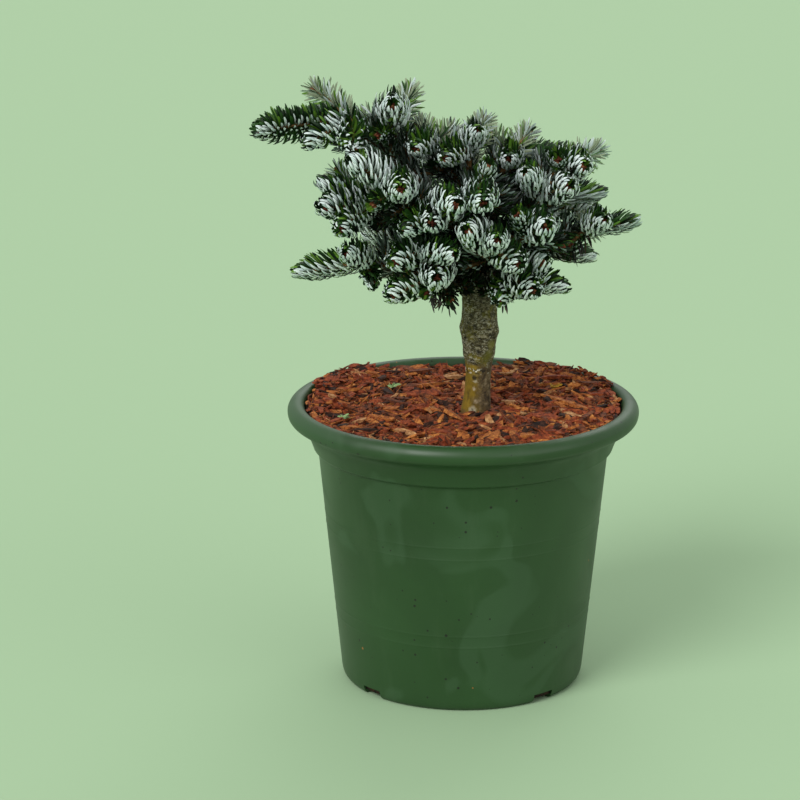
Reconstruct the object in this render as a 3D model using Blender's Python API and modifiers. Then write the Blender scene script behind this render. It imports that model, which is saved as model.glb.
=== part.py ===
import math
import random

import bmesh
import bpy
from mathutils import Vector

MM = 0.001

# Pot, measured in millimetres from the middle of its flat underside.
POT_STEPS = 36
POT_FLOOR = 3.0
POT_OUTSIDE_LIP = (
    (122.8, 213.5), (127.2, 212.6), (130.3, 209.2), (131.0, 205.0), (129.4, 200.6),
    (125.6, 199.0),
)
POT_OUTSIDE_COLLAR = (
    (118.6, 195.2), (115.4, 189.2), (112.2, 181.2), (111.6, 178.8), (108.6, 177.4),
)
POT_INSIDE_COLLAR = (
    (105.8, 176.8), (112.8, 190.6), (116.8, 197.8), (118.0, 208.4), (119.4, 212.0),
)
POT_BODY_TOP = (108.0, 176.0)
POT_BODY_FOOT = (91.0, 8.0)
POT_CORNER = ((90.2, 4.0), (88.8, 1.4), (86.6, 0.0))
POT_WALL = 2.0
RIDGE_HEIGHTS = (130.4, 120.8, 60.1, 51.2)
RIDGE_PROUD = 0.5
RIDGE_HALF_WIDTH = 1.6
DRAIN_TURNS = (-49.0, 41.0, 131.0, 221.0)
DRAIN_WIDTH = 18.0
DRAIN_HEIGHT = 7.0
DRAIN_INNER_RADIUS = 80.0
DRAIN_OUTER_RADIUS = 100.0

# Growing medium with a heaped top of bark mulch.
MEDIUM_GAP = 0.45
MEDIUM_FLOOR_GAP = 0.35
MULCH_TOP = 206.7
MULCH_FLAT_RADIUS = 17.0
MULCH_EDGE = 4.0
MULCH_RINGS = 5
MULCH_JITTER = 1.3
MULCH_HEAP = 4.5
MULCH_HEAP_TURNS = (42.0, 138.0)
CHIP_COUNT = 16
CHIP_SIZES = ((9.0, 3.6, 1.6), (13.0, 4.4, 1.8), (17.0, 3.2, 1.6))
CHIP_INNER_RADIUS = 32.0
CHIP_OUTER_RADIUS = 102.0
CHIP_TILT = 8.0
CHIP_PROUD = 0.3

# Trunk: a smooth rootstock below the graft and a thicker lumpy stem above it.
TRUNK_FOOT = Vector((9.2, -12.0, 207.0)) * MM
TRUNK_BEND = Vector((15.6, -12.5, 300.0)) * MM
TRUNK_TIP = Vector((3.5, -5.5, 384.0)) * MM
TRUNK_SIDES = 10
TRUNK_RADII = (
    (0.0, 11.8), (0.03, 10.7), (0.09, 9.5), (0.16, 9.3), (0.21, 10.0), (0.24, 11.6),
    (0.28, 12.4), (0.34, 13.5), (0.40, 12.9), (0.48, 12.3), (0.56, 11.0), (0.66, 9.4),
    (0.78, 7.6), (0.89, 6.0), (1.0, 4.6),
)
TRUNK_LUMP = 0.06
GRAFT_SHARE = 0.23

# Boughs and twigs.
BOUGH_SIDES = 5
BOUGH_STATIONS = 4
BOUGH_ROOT_RADIUS = 3.3 * MM
BOUGH_TIP_RADIUS = 2.3 * MM
SIDE_BOUGH_SCALE = 0.78
BOUGH_LIFT = 0.12
BOUGH_BEND = 0.42
STEM_LENGTH = 13.0 * MM
STEM_SIDES = 5
STEM_RADIUS = 2.9 * MM
LIMB_GAP = 0.33 * MM

# Shoots: a slim core with five or so rings of needle tufts standing out of it.
SHOOT_SIDES = 5
SHOOT_ROOT_RADIUS = 3.2 * MM
SHOOT_CORE_RADIUS = 7.6 * MM
SHOOT_NECK_RADIUS = 4.6 * MM
SHOOT_END_RADIUS = 6.8 * MM
SHOOT_SUNK = 1.6 * MM
TUFT_START = 10.0 * MM
TUFT_PITCH = 10.0 * MM
TUFT_REACH = 13.6 * MM
TUFT_FIRST_REACH = 12.0 * MM
TUFT_LAST_REACH = 12.0 * MM
TUFT_LEAN = 5.0 * MM
TUFT_LAST_LEAN = 11.0 * MM
TUFT_TURN = 24.0
TUFT_GAP = 0.8 * MM
TUFT_SIBLING_GAP = 0.6 * MM
TUFT_SHARES = (1.0, 0.84, 0.68, 0.52, 0.36, 0.2)
TUFT_LOWEST = 0.08
BUD_SET_BACK = 4.0 * MM
BUD_PROUD = 4.0 * MM

# Every mass forks at a point that lies at a turn, a rise and a reach from the crown's
# heart. Turns are in degrees from +X towards +Y, rises in degrees, lengths in mm.
# A row is: turn, rise, reach, the limb it grows on, how far along that limb, and then
# the turn, rise and length of each of its shoots.
CROWN_HEART = Vector((10.0, -10.0, 330.0)) * MM
MASSES = {
    "far_left": (-174, 47, 135, "trunk", 0.80,
                 ((-158, -2, 70), (144, 29, 40), (-137, -15, 40), (-88, -22, 38))),
    "top_left": (171, 55, 110, "far_left", 0.50,
                 ((-90, 27, 50), (65, 32, 39), (-103, 2, 46), (142, 4, 32))),
    "top_mid_left": (172, 66, 84, "trunk", 0.90, ((110, 20, 32), (-105, 8, 47), (55, 13, 30))),
    "top_mid": (146, 83, 74, "trunk", 1.00,
                ((-82, 27, 45), (37, 53, 27), (-107, 5, 58), (95, -12, 32))),
    "top_right": (39, 64, 73, "trunk", 0.87,
                  ((39, 47, 24), (-94, 9, 54), (41, -2, 38), (120, 20, 32))),
    "right_top": (5, 45, 85, "trunk", 0.79, ((-71, 12, 43), (34, 15, 36), (-95, 19, 43))),
    "right_mid": (-13, 42, 62, "trunk", 0.72, ((-67, 20, 46), (30, -3, 50), (-105, 29, 53))),
    "right_arm": (0, 11, 80, "trunk", 0.62,
                  ((-73, 21, 39), (9, 7, 35), (75, -5, 38), (-120, -14, 26))),
    "front_right": (-48, 20, 58, "trunk", 0.66, ((-77, 20, 43), (-105, 30, 47), (-33, -9, 27))),
    "front_mid": (-92, 47, 73, "trunk", 0.83, ((-87, 4, 50), (-75, 43, 35))),
    "front_mid_left": (-122, 33, 71, "trunk", 0.74, ((-94, 3, 40), (-74, 18, 50), (-118, -4, 45))),
    "front_low": (-81, 14, 52, "trunk", 0.60, ((-87, 18, 58), (-109, 24, 56), (-67, -2, 44))),
    "front_left": (-145, 37, 88, "left_mid", 0.45, ((-89, 13, 51), (-114, -2, 44), (-142, 31, 47))),
    "left_mid": (-169, 24, 88, "trunk", 0.68,
                 ((-136, 7, 43), (-113, -7, 49), (-172, 28, 37), (137, 34, 40))),
    "left_low": (-166, -3, 83, "trunk", 0.57, ((-107, 19, 50), (-168, -6, 49), (-80, -28, 22))),
    "low_left": (-133, 8, 63, "left_low", 0.35, ((-66, 10, 54), (-120, 0, 34))),
    "bottom_left": (-130, -14, 47, "trunk", 0.54,
                    ((-92, 12, 50), (-132, -6, 48), (-106, -9, 31), (-66, -34, 24))),
    "bottom_right": (-48, -24, 37, "trunk", 0.51,
                     ((-72, 2, 47), (-27, -3, 40), (-46, 27, 36), (-106, -18, 28))),
}

# The rear of the crown is three tiers of like masses, each with a middle shoot and one
# to either side. A tier is: name, rise, reach, how far along the trunk, and its turns.
REAR_SEED = 7
REAR_TIERS = (
    ("low", -6, 68, 0.54, (52, 96, 138)),
    ("mid", 20, 78, 0.66, (50, 100, 148)),
    ("high", 38, 62, 0.78, (48, 96, 144)),
)
REAR_WANDER = 3.0
REAR_MIDDLE_LENGTH = 46
REAR_SIDE_LENGTH = 41
REAR_MIDDLE_RISE = 0.7
REAR_SIDE_RISE = 0.5
REAR_SIDE_SPREAD = 44
REAR_SIDE_LIFT = 24
REAR_LOWEST_RISE = -12
REAR_STAGGER = 0.03

GREEN_PLASTIC = (0.040, 0.100, 0.045, 1.0)
BARK_MULCH = (0.110, 0.048, 0.026, 1.0)
TRUNK_BARK = (0.150, 0.115, 0.075, 1.0)
BOUGH_BARK = (0.125, 0.095, 0.070, 1.0)
NEEDLES = (0.170, 0.215, 0.150, 1.0)


def clear_scene():
    for thing in list(bpy.data.objects):
        bpy.data.objects.remove(thing, do_unlink=True)


def new_collection(name):
    collection = bpy.data.collections.new(name)
    bpy.context.scene.collection.children.link(collection)
    return collection


def new_material(name, colour, roughness):
    material = bpy.data.materials.new(name)
    material.use_nodes = True
    shader = material.node_tree.nodes["Principled BSDF"]
    shader.inputs["Base Color"].default_value = colour
    shader.inputs["Roughness"].default_value = roughness
    return material


def new_object(name, vertices, faces, collection):
    mesh = bpy.data.meshes.new(name)
    mesh.from_pydata([tuple(v) for v in vertices], [], faces)
    mesh.update()
    thing = bpy.data.objects.new(name, mesh)
    collection.objects.link(thing)
    return thing


def finish_object(thing, colour, roughness, smooth_angle=None):
    thing.data.materials.clear()
    thing.data.materials.append(new_material(thing.name + "_surface", colour, roughness))
    if smooth_angle is not None:
        for polygon in thing.data.polygons:
            polygon.use_smooth = True
        thing.data.set_sharp_from_angle(angle=math.radians(smooth_angle))


def apply_modifiers(thing):
    graph = bpy.context.evaluated_depsgraph_get()
    mesh = bpy.data.meshes.new_from_object(thing.evaluated_get(graph))
    thing.modifiers.clear()
    old = thing.data
    thing.data = mesh
    bpy.data.meshes.remove(old)
    mesh.name = thing.name


def cut(thing, cutter):
    boolean = thing.modifiers.new("cut", "BOOLEAN")
    boolean.operation = "DIFFERENCE"
    boolean.solver = "EXACT"
    boolean.object = cutter
    apply_modifiers(thing)


def join_all(thing, pieces):
    boolean = thing.modifiers.new("join", "BOOLEAN")
    boolean.operation = "UNION"
    boolean.solver = "EXACT"
    boolean.operand_type = "COLLECTION"
    boolean.collection = pieces
    apply_modifiers(thing)
    for piece in list(pieces.objects):
        bpy.data.objects.remove(piece, do_unlink=True)


def keep_outer_shell(thing):
    shape = bmesh.new()
    shape.from_mesh(thing.data)
    shells = []
    seen = set()
    for first in shape.faces:
        if first in seen:
            continue
        seen.add(first)
        shell = [first]
        for face in shell:
            for edge in face.edges:
                for neighbour in edge.link_faces:
                    if neighbour not in seen:
                        seen.add(neighbour)
                        shell.append(neighbour)
        shells.append(shell)
    shells.sort(key=len)
    for shell in shells[:-1]:
        bmesh.ops.delete(shape, geom=shell, context="FACES")
    shape.to_mesh(thing.data)
    shape.free()


def ring_faces(ring_count, sides):
    faces = []
    for ring in range(ring_count - 1):
        low = ring * sides
        high = low + sides
        for k in range(sides):
            after = (k + 1) % sides
            faces.append((low + k, low + after, high + after, high + k))
    return faces


def triangles(faces):
    halves = []
    for a, b, c, d in faces:
        halves.append((a, b, c))
        halves.append((a, c, d))
    return halves


def capped_rings(rings):
    sides = len(rings[0])
    vertices = [v for ring in rings for v in ring]
    faces = triangles(ring_faces(len(rings), sides))
    faces.append(tuple(reversed(range(sides))))
    last = (len(rings) - 1) * sides
    faces.append(tuple(range(last, last + sides)))
    return vertices, faces


def aim(turn, rise):
    t = math.radians(turn)
    r = math.radians(rise)
    return Vector((math.cos(t) * math.cos(r), math.sin(t) * math.cos(r), math.sin(r)))


def side_and_up(along):
    reference = Vector((0.0, 1.0, 0.0)) if abs(along.z) > 0.9 else Vector((0.0, 0.0, 1.0))
    side = along.cross(reference).normalized()
    up = side.cross(along).normalized()
    return side, up


def around(centre, along, radius, sides, turn=0.0):
    side, up = side_and_up(along)
    ring = []
    for k in range(sides):
        angle = math.radians(turn) + 2.0 * math.pi * k / sides
        ring.append(centre + radius * (math.cos(angle) * up + math.sin(angle) * side))
    return ring


def curve_point(curve, share):
    start, bend, end = curve
    rest = 1.0 - share
    return rest * rest * start + 2.0 * share * rest * bend + share * share * end


def curve_heading(curve, share):
    start, bend, end = curve
    return ((1.0 - share) * (bend - start) + share * (end - bend)).normalized()


def nearest_on_segment(point, start, end):
    along = end - start
    share = (point - start).dot(along) / along.length_squared
    share = min(1.0, max(0.0, share))
    return (point - start - share * along).length


# Pot

def body_radius(height):
    top_radius, top_height = POT_BODY_TOP
    foot_radius, foot_height = POT_BODY_FOOT
    share = (height - foot_height) / (top_height - foot_height)
    return foot_radius + share * (top_radius - foot_radius)


def pot_profile():
    points = list(POT_OUTSIDE_LIP) + list(POT_OUTSIDE_COLLAR)
    points.append(POT_BODY_TOP)
    for height in RIDGE_HEIGHTS:
        above = height + RIDGE_HALF_WIDTH
        below = height - RIDGE_HALF_WIDTH
        points.append((body_radius(above), above))
        points.append((body_radius(height) + RIDGE_PROUD, height))
        points.append((body_radius(below), below))
    points.append(POT_BODY_FOOT)
    points.extend(POT_CORNER)
    points.append((0.0, 0.0))
    points.append((0.0, POT_FLOOR))
    points.append((body_radius(POT_FLOOR) - POT_WALL, POT_FLOOR))
    points.extend(POT_INSIDE_COLLAR)
    return points


def lathe(name, profile, steps, collection):
    vertices = [(r * MM, 0.0, z * MM) for r, z in profile]
    edges = [(k, (k + 1) % len(profile)) for k in range(len(profile))]
    on_axis = [k for k, (r, z) in enumerate(profile) if r == 0.0]
    edges = [e for e in edges if not (e[0] in on_axis and e[1] in on_axis)]
    mesh = bpy.data.meshes.new(name)
    mesh.from_pydata(vertices, edges, [])
    thing = bpy.data.objects.new(name, mesh)
    collection.objects.link(thing)
    screw = thing.modifiers.new("turn", "SCREW")
    screw.axis = "Z"
    screw.steps = steps
    screw.render_steps = steps
    screw.use_merge_vertices = True
    screw.merge_threshold = 0.00005
    screw.use_normal_calculate = True
    apply_modifiers(thing)
    return thing


def make_pot(collection, cutters):
    pot = lathe("pot", pot_profile(), POT_STEPS, collection)
    for turn in DRAIN_TURNS:
        outward = aim(turn, 0.0)
        across = Vector((-outward.y, outward.x, 0.0)) * DRAIN_WIDTH * 0.5
        corners = []
        for height in (-DRAIN_HEIGHT, DRAIN_HEIGHT):
            lift = Vector((0.0, 0.0, height))
            corners.append([
                (DRAIN_INNER_RADIUS * outward - across + lift) * MM,
                (DRAIN_OUTER_RADIUS * outward - across + lift) * MM,
                (DRAIN_OUTER_RADIUS * outward + across + lift) * MM,
                (DRAIN_INNER_RADIUS * outward + across + lift) * MM,
            ])
        vertices, faces = capped_rings(corners)
        cutter = new_object("drain_cutter", vertices, faces, cutters)
        cut(pot, cutter)
    finish_object(pot, GREEN_PLASTIC, 0.42, 35.0)


# Growing medium

def heap(x, y):
    share = math.hypot(x, y) / POT_INSIDE_COLLAR[-2][0]
    turn = math.degrees(math.atan2(y, x))
    height = 0.0
    for heap_turn in MULCH_HEAP_TURNS:
        away = abs((turn - heap_turn + 180.0) % 360.0 - 180.0)
        height += max(0.0, 1.0 - away / 50.0)
    return MULCH_HEAP * height * share ** 2


def medium_rings():
    rings = []
    inside = [(r - MEDIUM_GAP, z) for r, z in POT_INSIDE_COLLAR if z < MULCH_TOP - MULCH_EDGE]
    floor = POT_FLOOR + MEDIUM_FLOOR_GAP
    outline = [(body_radius(POT_FLOOR) - POT_WALL - MEDIUM_GAP, floor)] + inside
    for radius, height in outline:
        rings.append([
            Vector((radius * math.cos(a), radius * math.sin(a), height)) * MM
            for a in turns_of(POT_STEPS)
        ])
    rng = random.Random(REAR_SEED)
    edge_radius = outline[-1][0]
    foot = TRUNK_FOOT / MM
    for step in range(MULCH_RINGS):
        share = 1.0 - step / (MULCH_RINGS - 1)
        radius = MULCH_FLAT_RADIUS + (edge_radius - MULCH_FLAT_RADIUS) * share
        ring = []
        for a in turns_of(POT_STEPS):
            x = radius * math.cos(a) + foot.x * (1.0 - share)
            y = radius * math.sin(a) + foot.y * (1.0 - share)
            height = MULCH_TOP
            if step < MULCH_RINGS - 1:
                height += heap(x, y) + rng.uniform(-1.0, 1.0) * MULCH_JITTER
            ring.append(Vector((x, y, height)) * MM)
        rings.append(ring)
    return rings


def turns_of(count):
    return [2.0 * math.pi * k / count for k in range(count)]


def make_medium(collection, pieces):
    vertices, faces = capped_rings(medium_rings())
    medium = new_object("growing_medium", vertices, faces, collection)
    rng = random.Random(REAR_SEED + 1)
    for k in range(CHIP_COUNT):
        turn = 360.0 * (k + 0.6 * rng.random()) / CHIP_COUNT * 5.0
        radius = CHIP_INNER_RADIUS + (CHIP_OUTER_RADIUS - CHIP_INNER_RADIUS) * math.sqrt((k + 0.5) / CHIP_COUNT)
        above = radius * MM * aim(turn, 0.0) + Vector((0.0, 0.0, 1.0))
        hit, ground, slope, index = medium.ray_cast(above, Vector((0.0, 0.0, -1.0)))
        centre = ground / MM + Vector((0.0, 0.0, CHIP_PROUD))
        length, width, depth = CHIP_SIZES[k % len(CHIP_SIZES)]
        along = aim(rng.uniform(0.0, 360.0), rng.uniform(-CHIP_TILT, CHIP_TILT))
        across, up = side_and_up(along)
        rings = []
        for share, narrow in ((-0.5, 0.7), (0.5, 1.0)):
            middle = centre + share * length * along
            rings.append([
                (middle + narrow * (a * across * width + b * up * depth)) * MM
                for a, b in ((-0.5, -0.5), (0.5, -0.5), (0.5, 0.5), (-0.5, 0.5))
            ])
        vertices, faces = capped_rings(rings)
        new_object("chip", vertices, faces, pieces)
    turn_outward(pieces)
    join_all(medium, pieces)
    finish_object(medium, BARK_MULCH, 0.95)


def turn_outward(collection):
    for thing in collection.objects:
        mesh = thing.data
        volume = 0.0
        for polygon in mesh.polygons:
            corners = [mesh.vertices[v].co for v in polygon.vertices]
            for k in range(1, len(corners) - 1):
                volume += corners[0].dot(corners[k].cross(corners[k + 1]))
        if volume < 0.0:
            mesh.flip_normals()


# Trunk

def trunk_curve():
    return TRUNK_FOOT, TRUNK_BEND, TRUNK_TIP


def trunk_rings(extra):
    rng = random.Random(REAR_SEED + 2)
    rings = []
    curve = trunk_curve()
    for share, radius in TRUNK_RADII:
        centre = curve_point(curve, share)
        heading = curve_heading(curve, share)
        if share == 0.0:
            heading = Vector((0.0, 0.0, 1.0))
        ring = around(centre, heading, 1.0, TRUNK_SIDES)
        lumpy = TRUNK_LUMP if share > GRAFT_SHARE else TRUNK_LUMP * 0.3
        for k, point in enumerate(ring):
            reach = radius * MM * (1.0 + rng.uniform(-lumpy, lumpy)) + extra
            ring[k] = centre + reach * (point - centre)
        rings.append(ring)
    return rings


def trunk_radius(share):
    for (low, low_radius), (high, high_radius) in zip(TRUNK_RADII, TRUNK_RADII[1:]):
        if share <= high:
            part = (share - low) / (high - low)
            return (low_radius + part * (high_radius - low_radius)) * MM
    return TRUNK_RADII[-1][1] * MM


def make_trunk(collection):
    vertices, faces = capped_rings(trunk_rings(0.0))
    trunk = new_object("trunk", vertices, faces, collection)
    finish_object(trunk, TRUNK_BARK, 0.9, 40.0)


# Boughs

def crown_rows():
    rows = dict(MASSES)
    rng = random.Random(REAR_SEED)
    for tier, tier_rise, tier_reach, share, turns in REAR_TIERS:
        for k, tier_turn in enumerate(turns):
            turn = tier_turn + rng.uniform(-REAR_WANDER, REAR_WANDER)
            rise = tier_rise + rng.uniform(-REAR_WANDER, REAR_WANDER)
            reach = tier_reach + rng.uniform(-REAR_WANDER, REAR_WANDER)
            shoots = [(turn, rise * REAR_MIDDLE_RISE, REAR_MIDDLE_LENGTH)]
            for side in (-1, 1):
                side_rise = max(REAR_LOWEST_RISE, rise * REAR_SIDE_RISE + side * REAR_SIDE_LIFT)
                shoots.append((turn + side * REAR_SIDE_SPREAD, side_rise, REAR_SIDE_LENGTH))
            name = "rear_{}_{}".format(tier, k + 1)
            root_share = share + REAR_STAGGER * (k % 2)
            rows[name] = (turn, rise, reach, "trunk", root_share, tuple(shoots))
    return rows


def fork_of(row):
    return CROWN_HEART + row[2] * MM * aim(row[0], row[1])


def limb_curves(rows):
    curves = {"trunk": trunk_curve()}
    waiting = list(rows)
    while waiting:
        name = waiting.pop(0)
        row = rows[name]
        parent, share = row[3], row[4]
        if parent not in curves:
            waiting.append(name)
            continue
        fork = fork_of(row)
        root = curve_point(curves[parent], share)
        reach = (fork - root).length
        heading = (fork - root + Vector((0.0, 0.0, BOUGH_LIFT * reach))).normalized()
        if share == 1.0:
            heading = curve_heading(curves[parent], 1.0)
        tip = fork - STEM_LENGTH * heading
        bend = tip - BOUGH_BEND * reach * heading
        curves[name] = (root, bend, tip)
    return curves


def bough_radius(row, share):
    radius = BOUGH_ROOT_RADIUS + share * (BOUGH_TIP_RADIUS - BOUGH_ROOT_RADIUS)
    if row[3] != "trunk":
        radius *= SIDE_BOUGH_SCALE
    return radius


def bough_solid(name, row, curve, extra, collection):
    rings = []
    for station in range(BOUGH_STATIONS):
        share = station / (BOUGH_STATIONS - 1)
        centre = curve_point(curve, share)
        heading = curve_heading(curve, share)
        radius = bough_radius(row, share) + extra
        rings.append(around(centre, heading, radius, BOUGH_SIDES))
    vertices, faces = capped_rings(rings)
    return new_object(name, vertices, faces, collection)


def make_boughs(rows, curves, collection, cutters):
    vertices, faces = capped_rings(trunk_rings(LIMB_GAP))
    parents = {"trunk": new_object("trunk_cutter", vertices, faces, cutters)}
    for name, row in rows.items():
        parent = row[3]
        if row[4] == 1.0:
            continue
        if parent not in parents:
            cutter_name = "bough_{}_cutter".format(parent)
            parents[parent] = bough_solid(cutter_name, rows[parent], curves[parent], LIMB_GAP, cutters)
        bough = bough_solid("bough_" + name, row, curves[name], 0.0, collection)
        cut(bough, parents[parent])
        keep_outer_shell(bough)
        finish_object(bough, BOUGH_BARK, 0.9)


# Masses of needles

def crown_shoots(rows):
    shoots = []
    for name, row in rows.items():
        fork = fork_of(row)
        for turn, rise, length in row[5]:
            shoots.append((name, fork, aim(turn, rise), length * MM))
    return shoots


def limb_segments(rows, curves):
    segments = []
    for name, curve in curves.items():
        steps = 12 if name == "trunk" else 4
        for k in range(steps):
            low = k / steps
            high = (k + 1) / steps
            if name == "trunk":
                radius = max(trunk_radius(low), trunk_radius(high)) * (1.0 + TRUNK_LUMP)
            elif rows[name][4] == 1.0:
                continue
            else:
                radius = bough_radius(rows[name], low)
            segments.append((curve_point(curve, low), curve_point(curve, high), radius))
    return segments


def has_room(point, shoot, shoots, limbs):
    name, fork, along, length = shoot
    own = nearest_on_segment(point, fork, fork + length * along)
    for other_name, other_fork, other_along, other_length in shoots:
        gap = TUFT_GAP
        if other_name == name:
            if other_along == along:
                continue
            gap = TUFT_SIBLING_GAP
        if (point - other_fork).length > other_length + own + gap:
            continue
        other_end = other_fork + other_length * other_along
        if nearest_on_segment(point, other_fork, other_end) < own + gap:
            return False
    for start, end, radius in limbs:
        if nearest_on_segment(point, start, end) < radius + TUFT_GAP:
            return False
    return True


def shoot_stations(length):
    last = length - BUD_SET_BACK
    count = max(2, round((last - TUFT_START) / TUFT_PITCH))
    stations = [(-SHOOT_SUNK, SHOOT_ROOT_RADIUS)]
    for k in range(count + 1):
        share = k / count
        radius = SHOOT_CORE_RADIUS
        if k == 0:
            radius = SHOOT_NECK_RADIUS
        if k == count:
            radius = SHOOT_END_RADIUS
        stations.append((TUFT_START + share * (last - TUFT_START), radius))
    return stations


def shoot_solid(shoot, shoots, limbs, pieces):
    name, fork, along, length = shoot
    stations = shoot_stations(length)
    vertices = []
    for k, (distance, radius) in enumerate(stations):
        turn = TUFT_TURN * max(1, k)
        vertices.extend(around(fork + distance * along, along, radius, SHOOT_SIDES, turn))
    faces = [tuple(reversed(range(SHOOT_SIDES)))]
    last_ring = len(stations) - 2
    for ring, face in enumerate(ring_faces(len(stations), SHOOT_SIDES)):
        ring = ring // SHOOT_SIDES
        if ring == 0:
            faces.append(face)
            continue
        middle = sum((vertices[v] for v in face), Vector()) / 4.0
        on_axis = fork + (middle - fork).dot(along) * along
        outward = (middle - on_axis).normalized()
        reach, lean = TUFT_REACH, TUFT_LEAN
        if ring == 1:
            reach = TUFT_FIRST_REACH
        if ring == last_ring:
            reach, lean = TUFT_LAST_REACH, TUFT_LAST_LEAN
        tip = on_axis + reach * outward + lean * along
        share = TUFT_LOWEST
        for trial in TUFT_SHARES:
            if has_room(middle + trial * (tip - middle), shoot, shoots, limbs):
                share = trial
                break
        apex = len(vertices)
        vertices.append(middle + share * (tip - middle))
        for k in range(4):
            faces.append((face[k], face[(k + 1) % 4], apex))
    bud = len(vertices)
    vertices.append(fork + (length + BUD_PROUD) * along)
    first = (len(stations) - 1) * SHOOT_SIDES
    for k in range(SHOOT_SIDES):
        faces.append((first + k, first + (k + 1) % SHOOT_SIDES, bud))
    new_object(name + "_shoot", vertices, faces, pieces)


def make_masses(rows, curves, collection, pieces):
    shoots = crown_shoots(rows)
    limbs = limb_segments(rows, curves)
    for name, row in rows.items():
        fork = fork_of(row)
        heading = curve_heading(curves[name], 1.0)
        start = curves[name][2] + LIMB_GAP * heading
        if row[4] == 1.0:
            start = curve_point(curves[row[3]], 1.0) + LIMB_GAP * heading
        rings = [around(start, heading, STEM_RADIUS, STEM_SIDES)]
        rings.append(around(fork + SHOOT_SUNK * heading, heading, STEM_RADIUS, STEM_SIDES))
        vertices, faces = capped_rings(rings)
        mass = new_object("mass_" + name, vertices, faces, collection)
        for shoot in shoots:
            if shoot[0] == name:
                shoot_solid(shoot, shoots, limbs, pieces)
        join_all(mass, pieces)
        keep_outer_shell(mass)
        finish_object(mass, NEEDLES, 0.75)


def build():
    clear_scene()
    plant = new_collection("potted_korean_fir")
    cutters = new_collection("cutters")
    pieces = new_collection("pieces")
    rows = crown_rows()
    curves = limb_curves(rows)
    make_pot(plant, cutters)
    make_medium(plant, pieces)
    make_trunk(plant)
    make_boughs(rows, curves, plant, cutters)
    make_masses(rows, curves, plant, pieces)
    for cutter in cutters.objects:
        cutter.hide_render = True
        cutter.display_type = "WIRE"


build()
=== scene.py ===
import math
import random

import bpy
import numpy as np
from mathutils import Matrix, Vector, noise


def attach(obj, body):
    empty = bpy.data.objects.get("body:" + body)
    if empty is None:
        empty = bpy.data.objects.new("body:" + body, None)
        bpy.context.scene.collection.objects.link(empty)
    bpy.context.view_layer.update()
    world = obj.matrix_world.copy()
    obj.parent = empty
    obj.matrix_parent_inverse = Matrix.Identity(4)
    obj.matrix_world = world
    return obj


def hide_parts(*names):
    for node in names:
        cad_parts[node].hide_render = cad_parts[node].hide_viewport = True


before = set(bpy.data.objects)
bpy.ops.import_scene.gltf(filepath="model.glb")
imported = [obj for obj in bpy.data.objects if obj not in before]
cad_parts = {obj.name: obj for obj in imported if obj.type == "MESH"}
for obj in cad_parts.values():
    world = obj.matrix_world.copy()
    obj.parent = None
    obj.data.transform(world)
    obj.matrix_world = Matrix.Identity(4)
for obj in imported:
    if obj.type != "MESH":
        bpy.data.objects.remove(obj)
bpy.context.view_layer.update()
mm = 0.001
print("stage: frame loaded")



def srgb(red, green, blue):
    linear = []
    for value in (red, green, blue):
        c = value / 255.0
        linear.append(c / 12.92 if c <= 0.04045 else ((c + 0.055) / 1.055) ** 2.4)
    return (linear[0], linear[1], linear[2], 1.0)


def vec(values):
    return np.array(values, float)


def unit(v):
    v = np.asarray(v, float)
    return v / np.maximum(np.linalg.norm(v, axis=-1, keepdims=True), 1e-12)


def aim(turn, rise):
    t = math.radians(turn)
    r = math.radians(rise)
    return vec((math.cos(t) * math.cos(r), math.sin(t) * math.cos(r), math.sin(r)))


def curvePoint(curve, share):
    start, bend, end = curve
    rest = 1.0 - share
    return rest * rest * start + 2.0 * share * rest * bend + share * share * end


def curveHeading(curve, share):
    start, bend, end = curve
    return unit((1.0 - share) * (bend - start) + share * (end - bend))


def sideAndUp(along):
    reference = vec((0, 1, 0)) if abs(along[2]) > 0.9 else vec((0, 0, 1))
    side = unit(np.cross(along, reference))
    return side, unit(np.cross(side, along))


def segmentDistance(points, start, end):
    along = end - start
    share = np.clip(((points - start) @ along) / (along @ along), 0.0, 1.0)
    return np.linalg.norm(points - start - share[:, None] * along, axis=1)


def makeMesh(name, vertices, faceSize, loops, materials, slots=None, smooth=True):
    vertices = np.asarray(vertices, np.float32)
    loops = np.asarray(loops, np.int32)
    count = len(loops) // faceSize
    mesh = bpy.data.meshes.new(name)
    mesh.vertices.add(len(vertices))
    mesh.vertices.foreach_set("co", vertices.ravel())
    mesh.loops.add(len(loops))
    mesh.loops.foreach_set("vertex_index", loops)
    mesh.polygons.add(count)
    mesh.polygons.foreach_set("loop_start", np.arange(count, dtype=np.int32) * faceSize)
    mesh.polygons.foreach_set("loop_total", np.full(count, faceSize, np.int32))
    if slots is not None:
        mesh.polygons.foreach_set("material_index", np.asarray(slots, np.int32))
    mesh.polygons.foreach_set("use_smooth", np.full(count, smooth, bool))
    for material in materials:
        mesh.materials.append(material)
    mesh.update(calc_edges=True)
    mesh.validate()
    piece = bpy.data.objects.new(name, mesh)
    bpy.context.scene.collection.objects.link(piece)
    return piece


def gridLoops(rings, sides, first=0, closed=True):
    k = np.arange(sides if closed else sides - 1)
    after = (k + 1) % sides
    quads = []
    for ring in range(rings - 1):
        low = first + ring * sides
        high = low + sides
        quads.append(np.stack([low + k, low + after, high + after, high + k], axis=1))
    return np.concatenate(quads)


def place(piece, slot, nodes=()):
    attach(piece, "root")
    if nodes:
        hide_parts(*nodes)
    return piece


def plainMaterial(name, colour, roughness, specular=0.35):
    material = bpy.data.materials.new(name)
    material.use_nodes = True
    shader = material.node_tree.nodes["Principled BSDF"]
    shader.inputs["Base Color"].default_value = colour
    shader.inputs["Roughness"].default_value = roughness
    shader.inputs["Specular IOR Level"].default_value = specular
    return material



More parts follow.
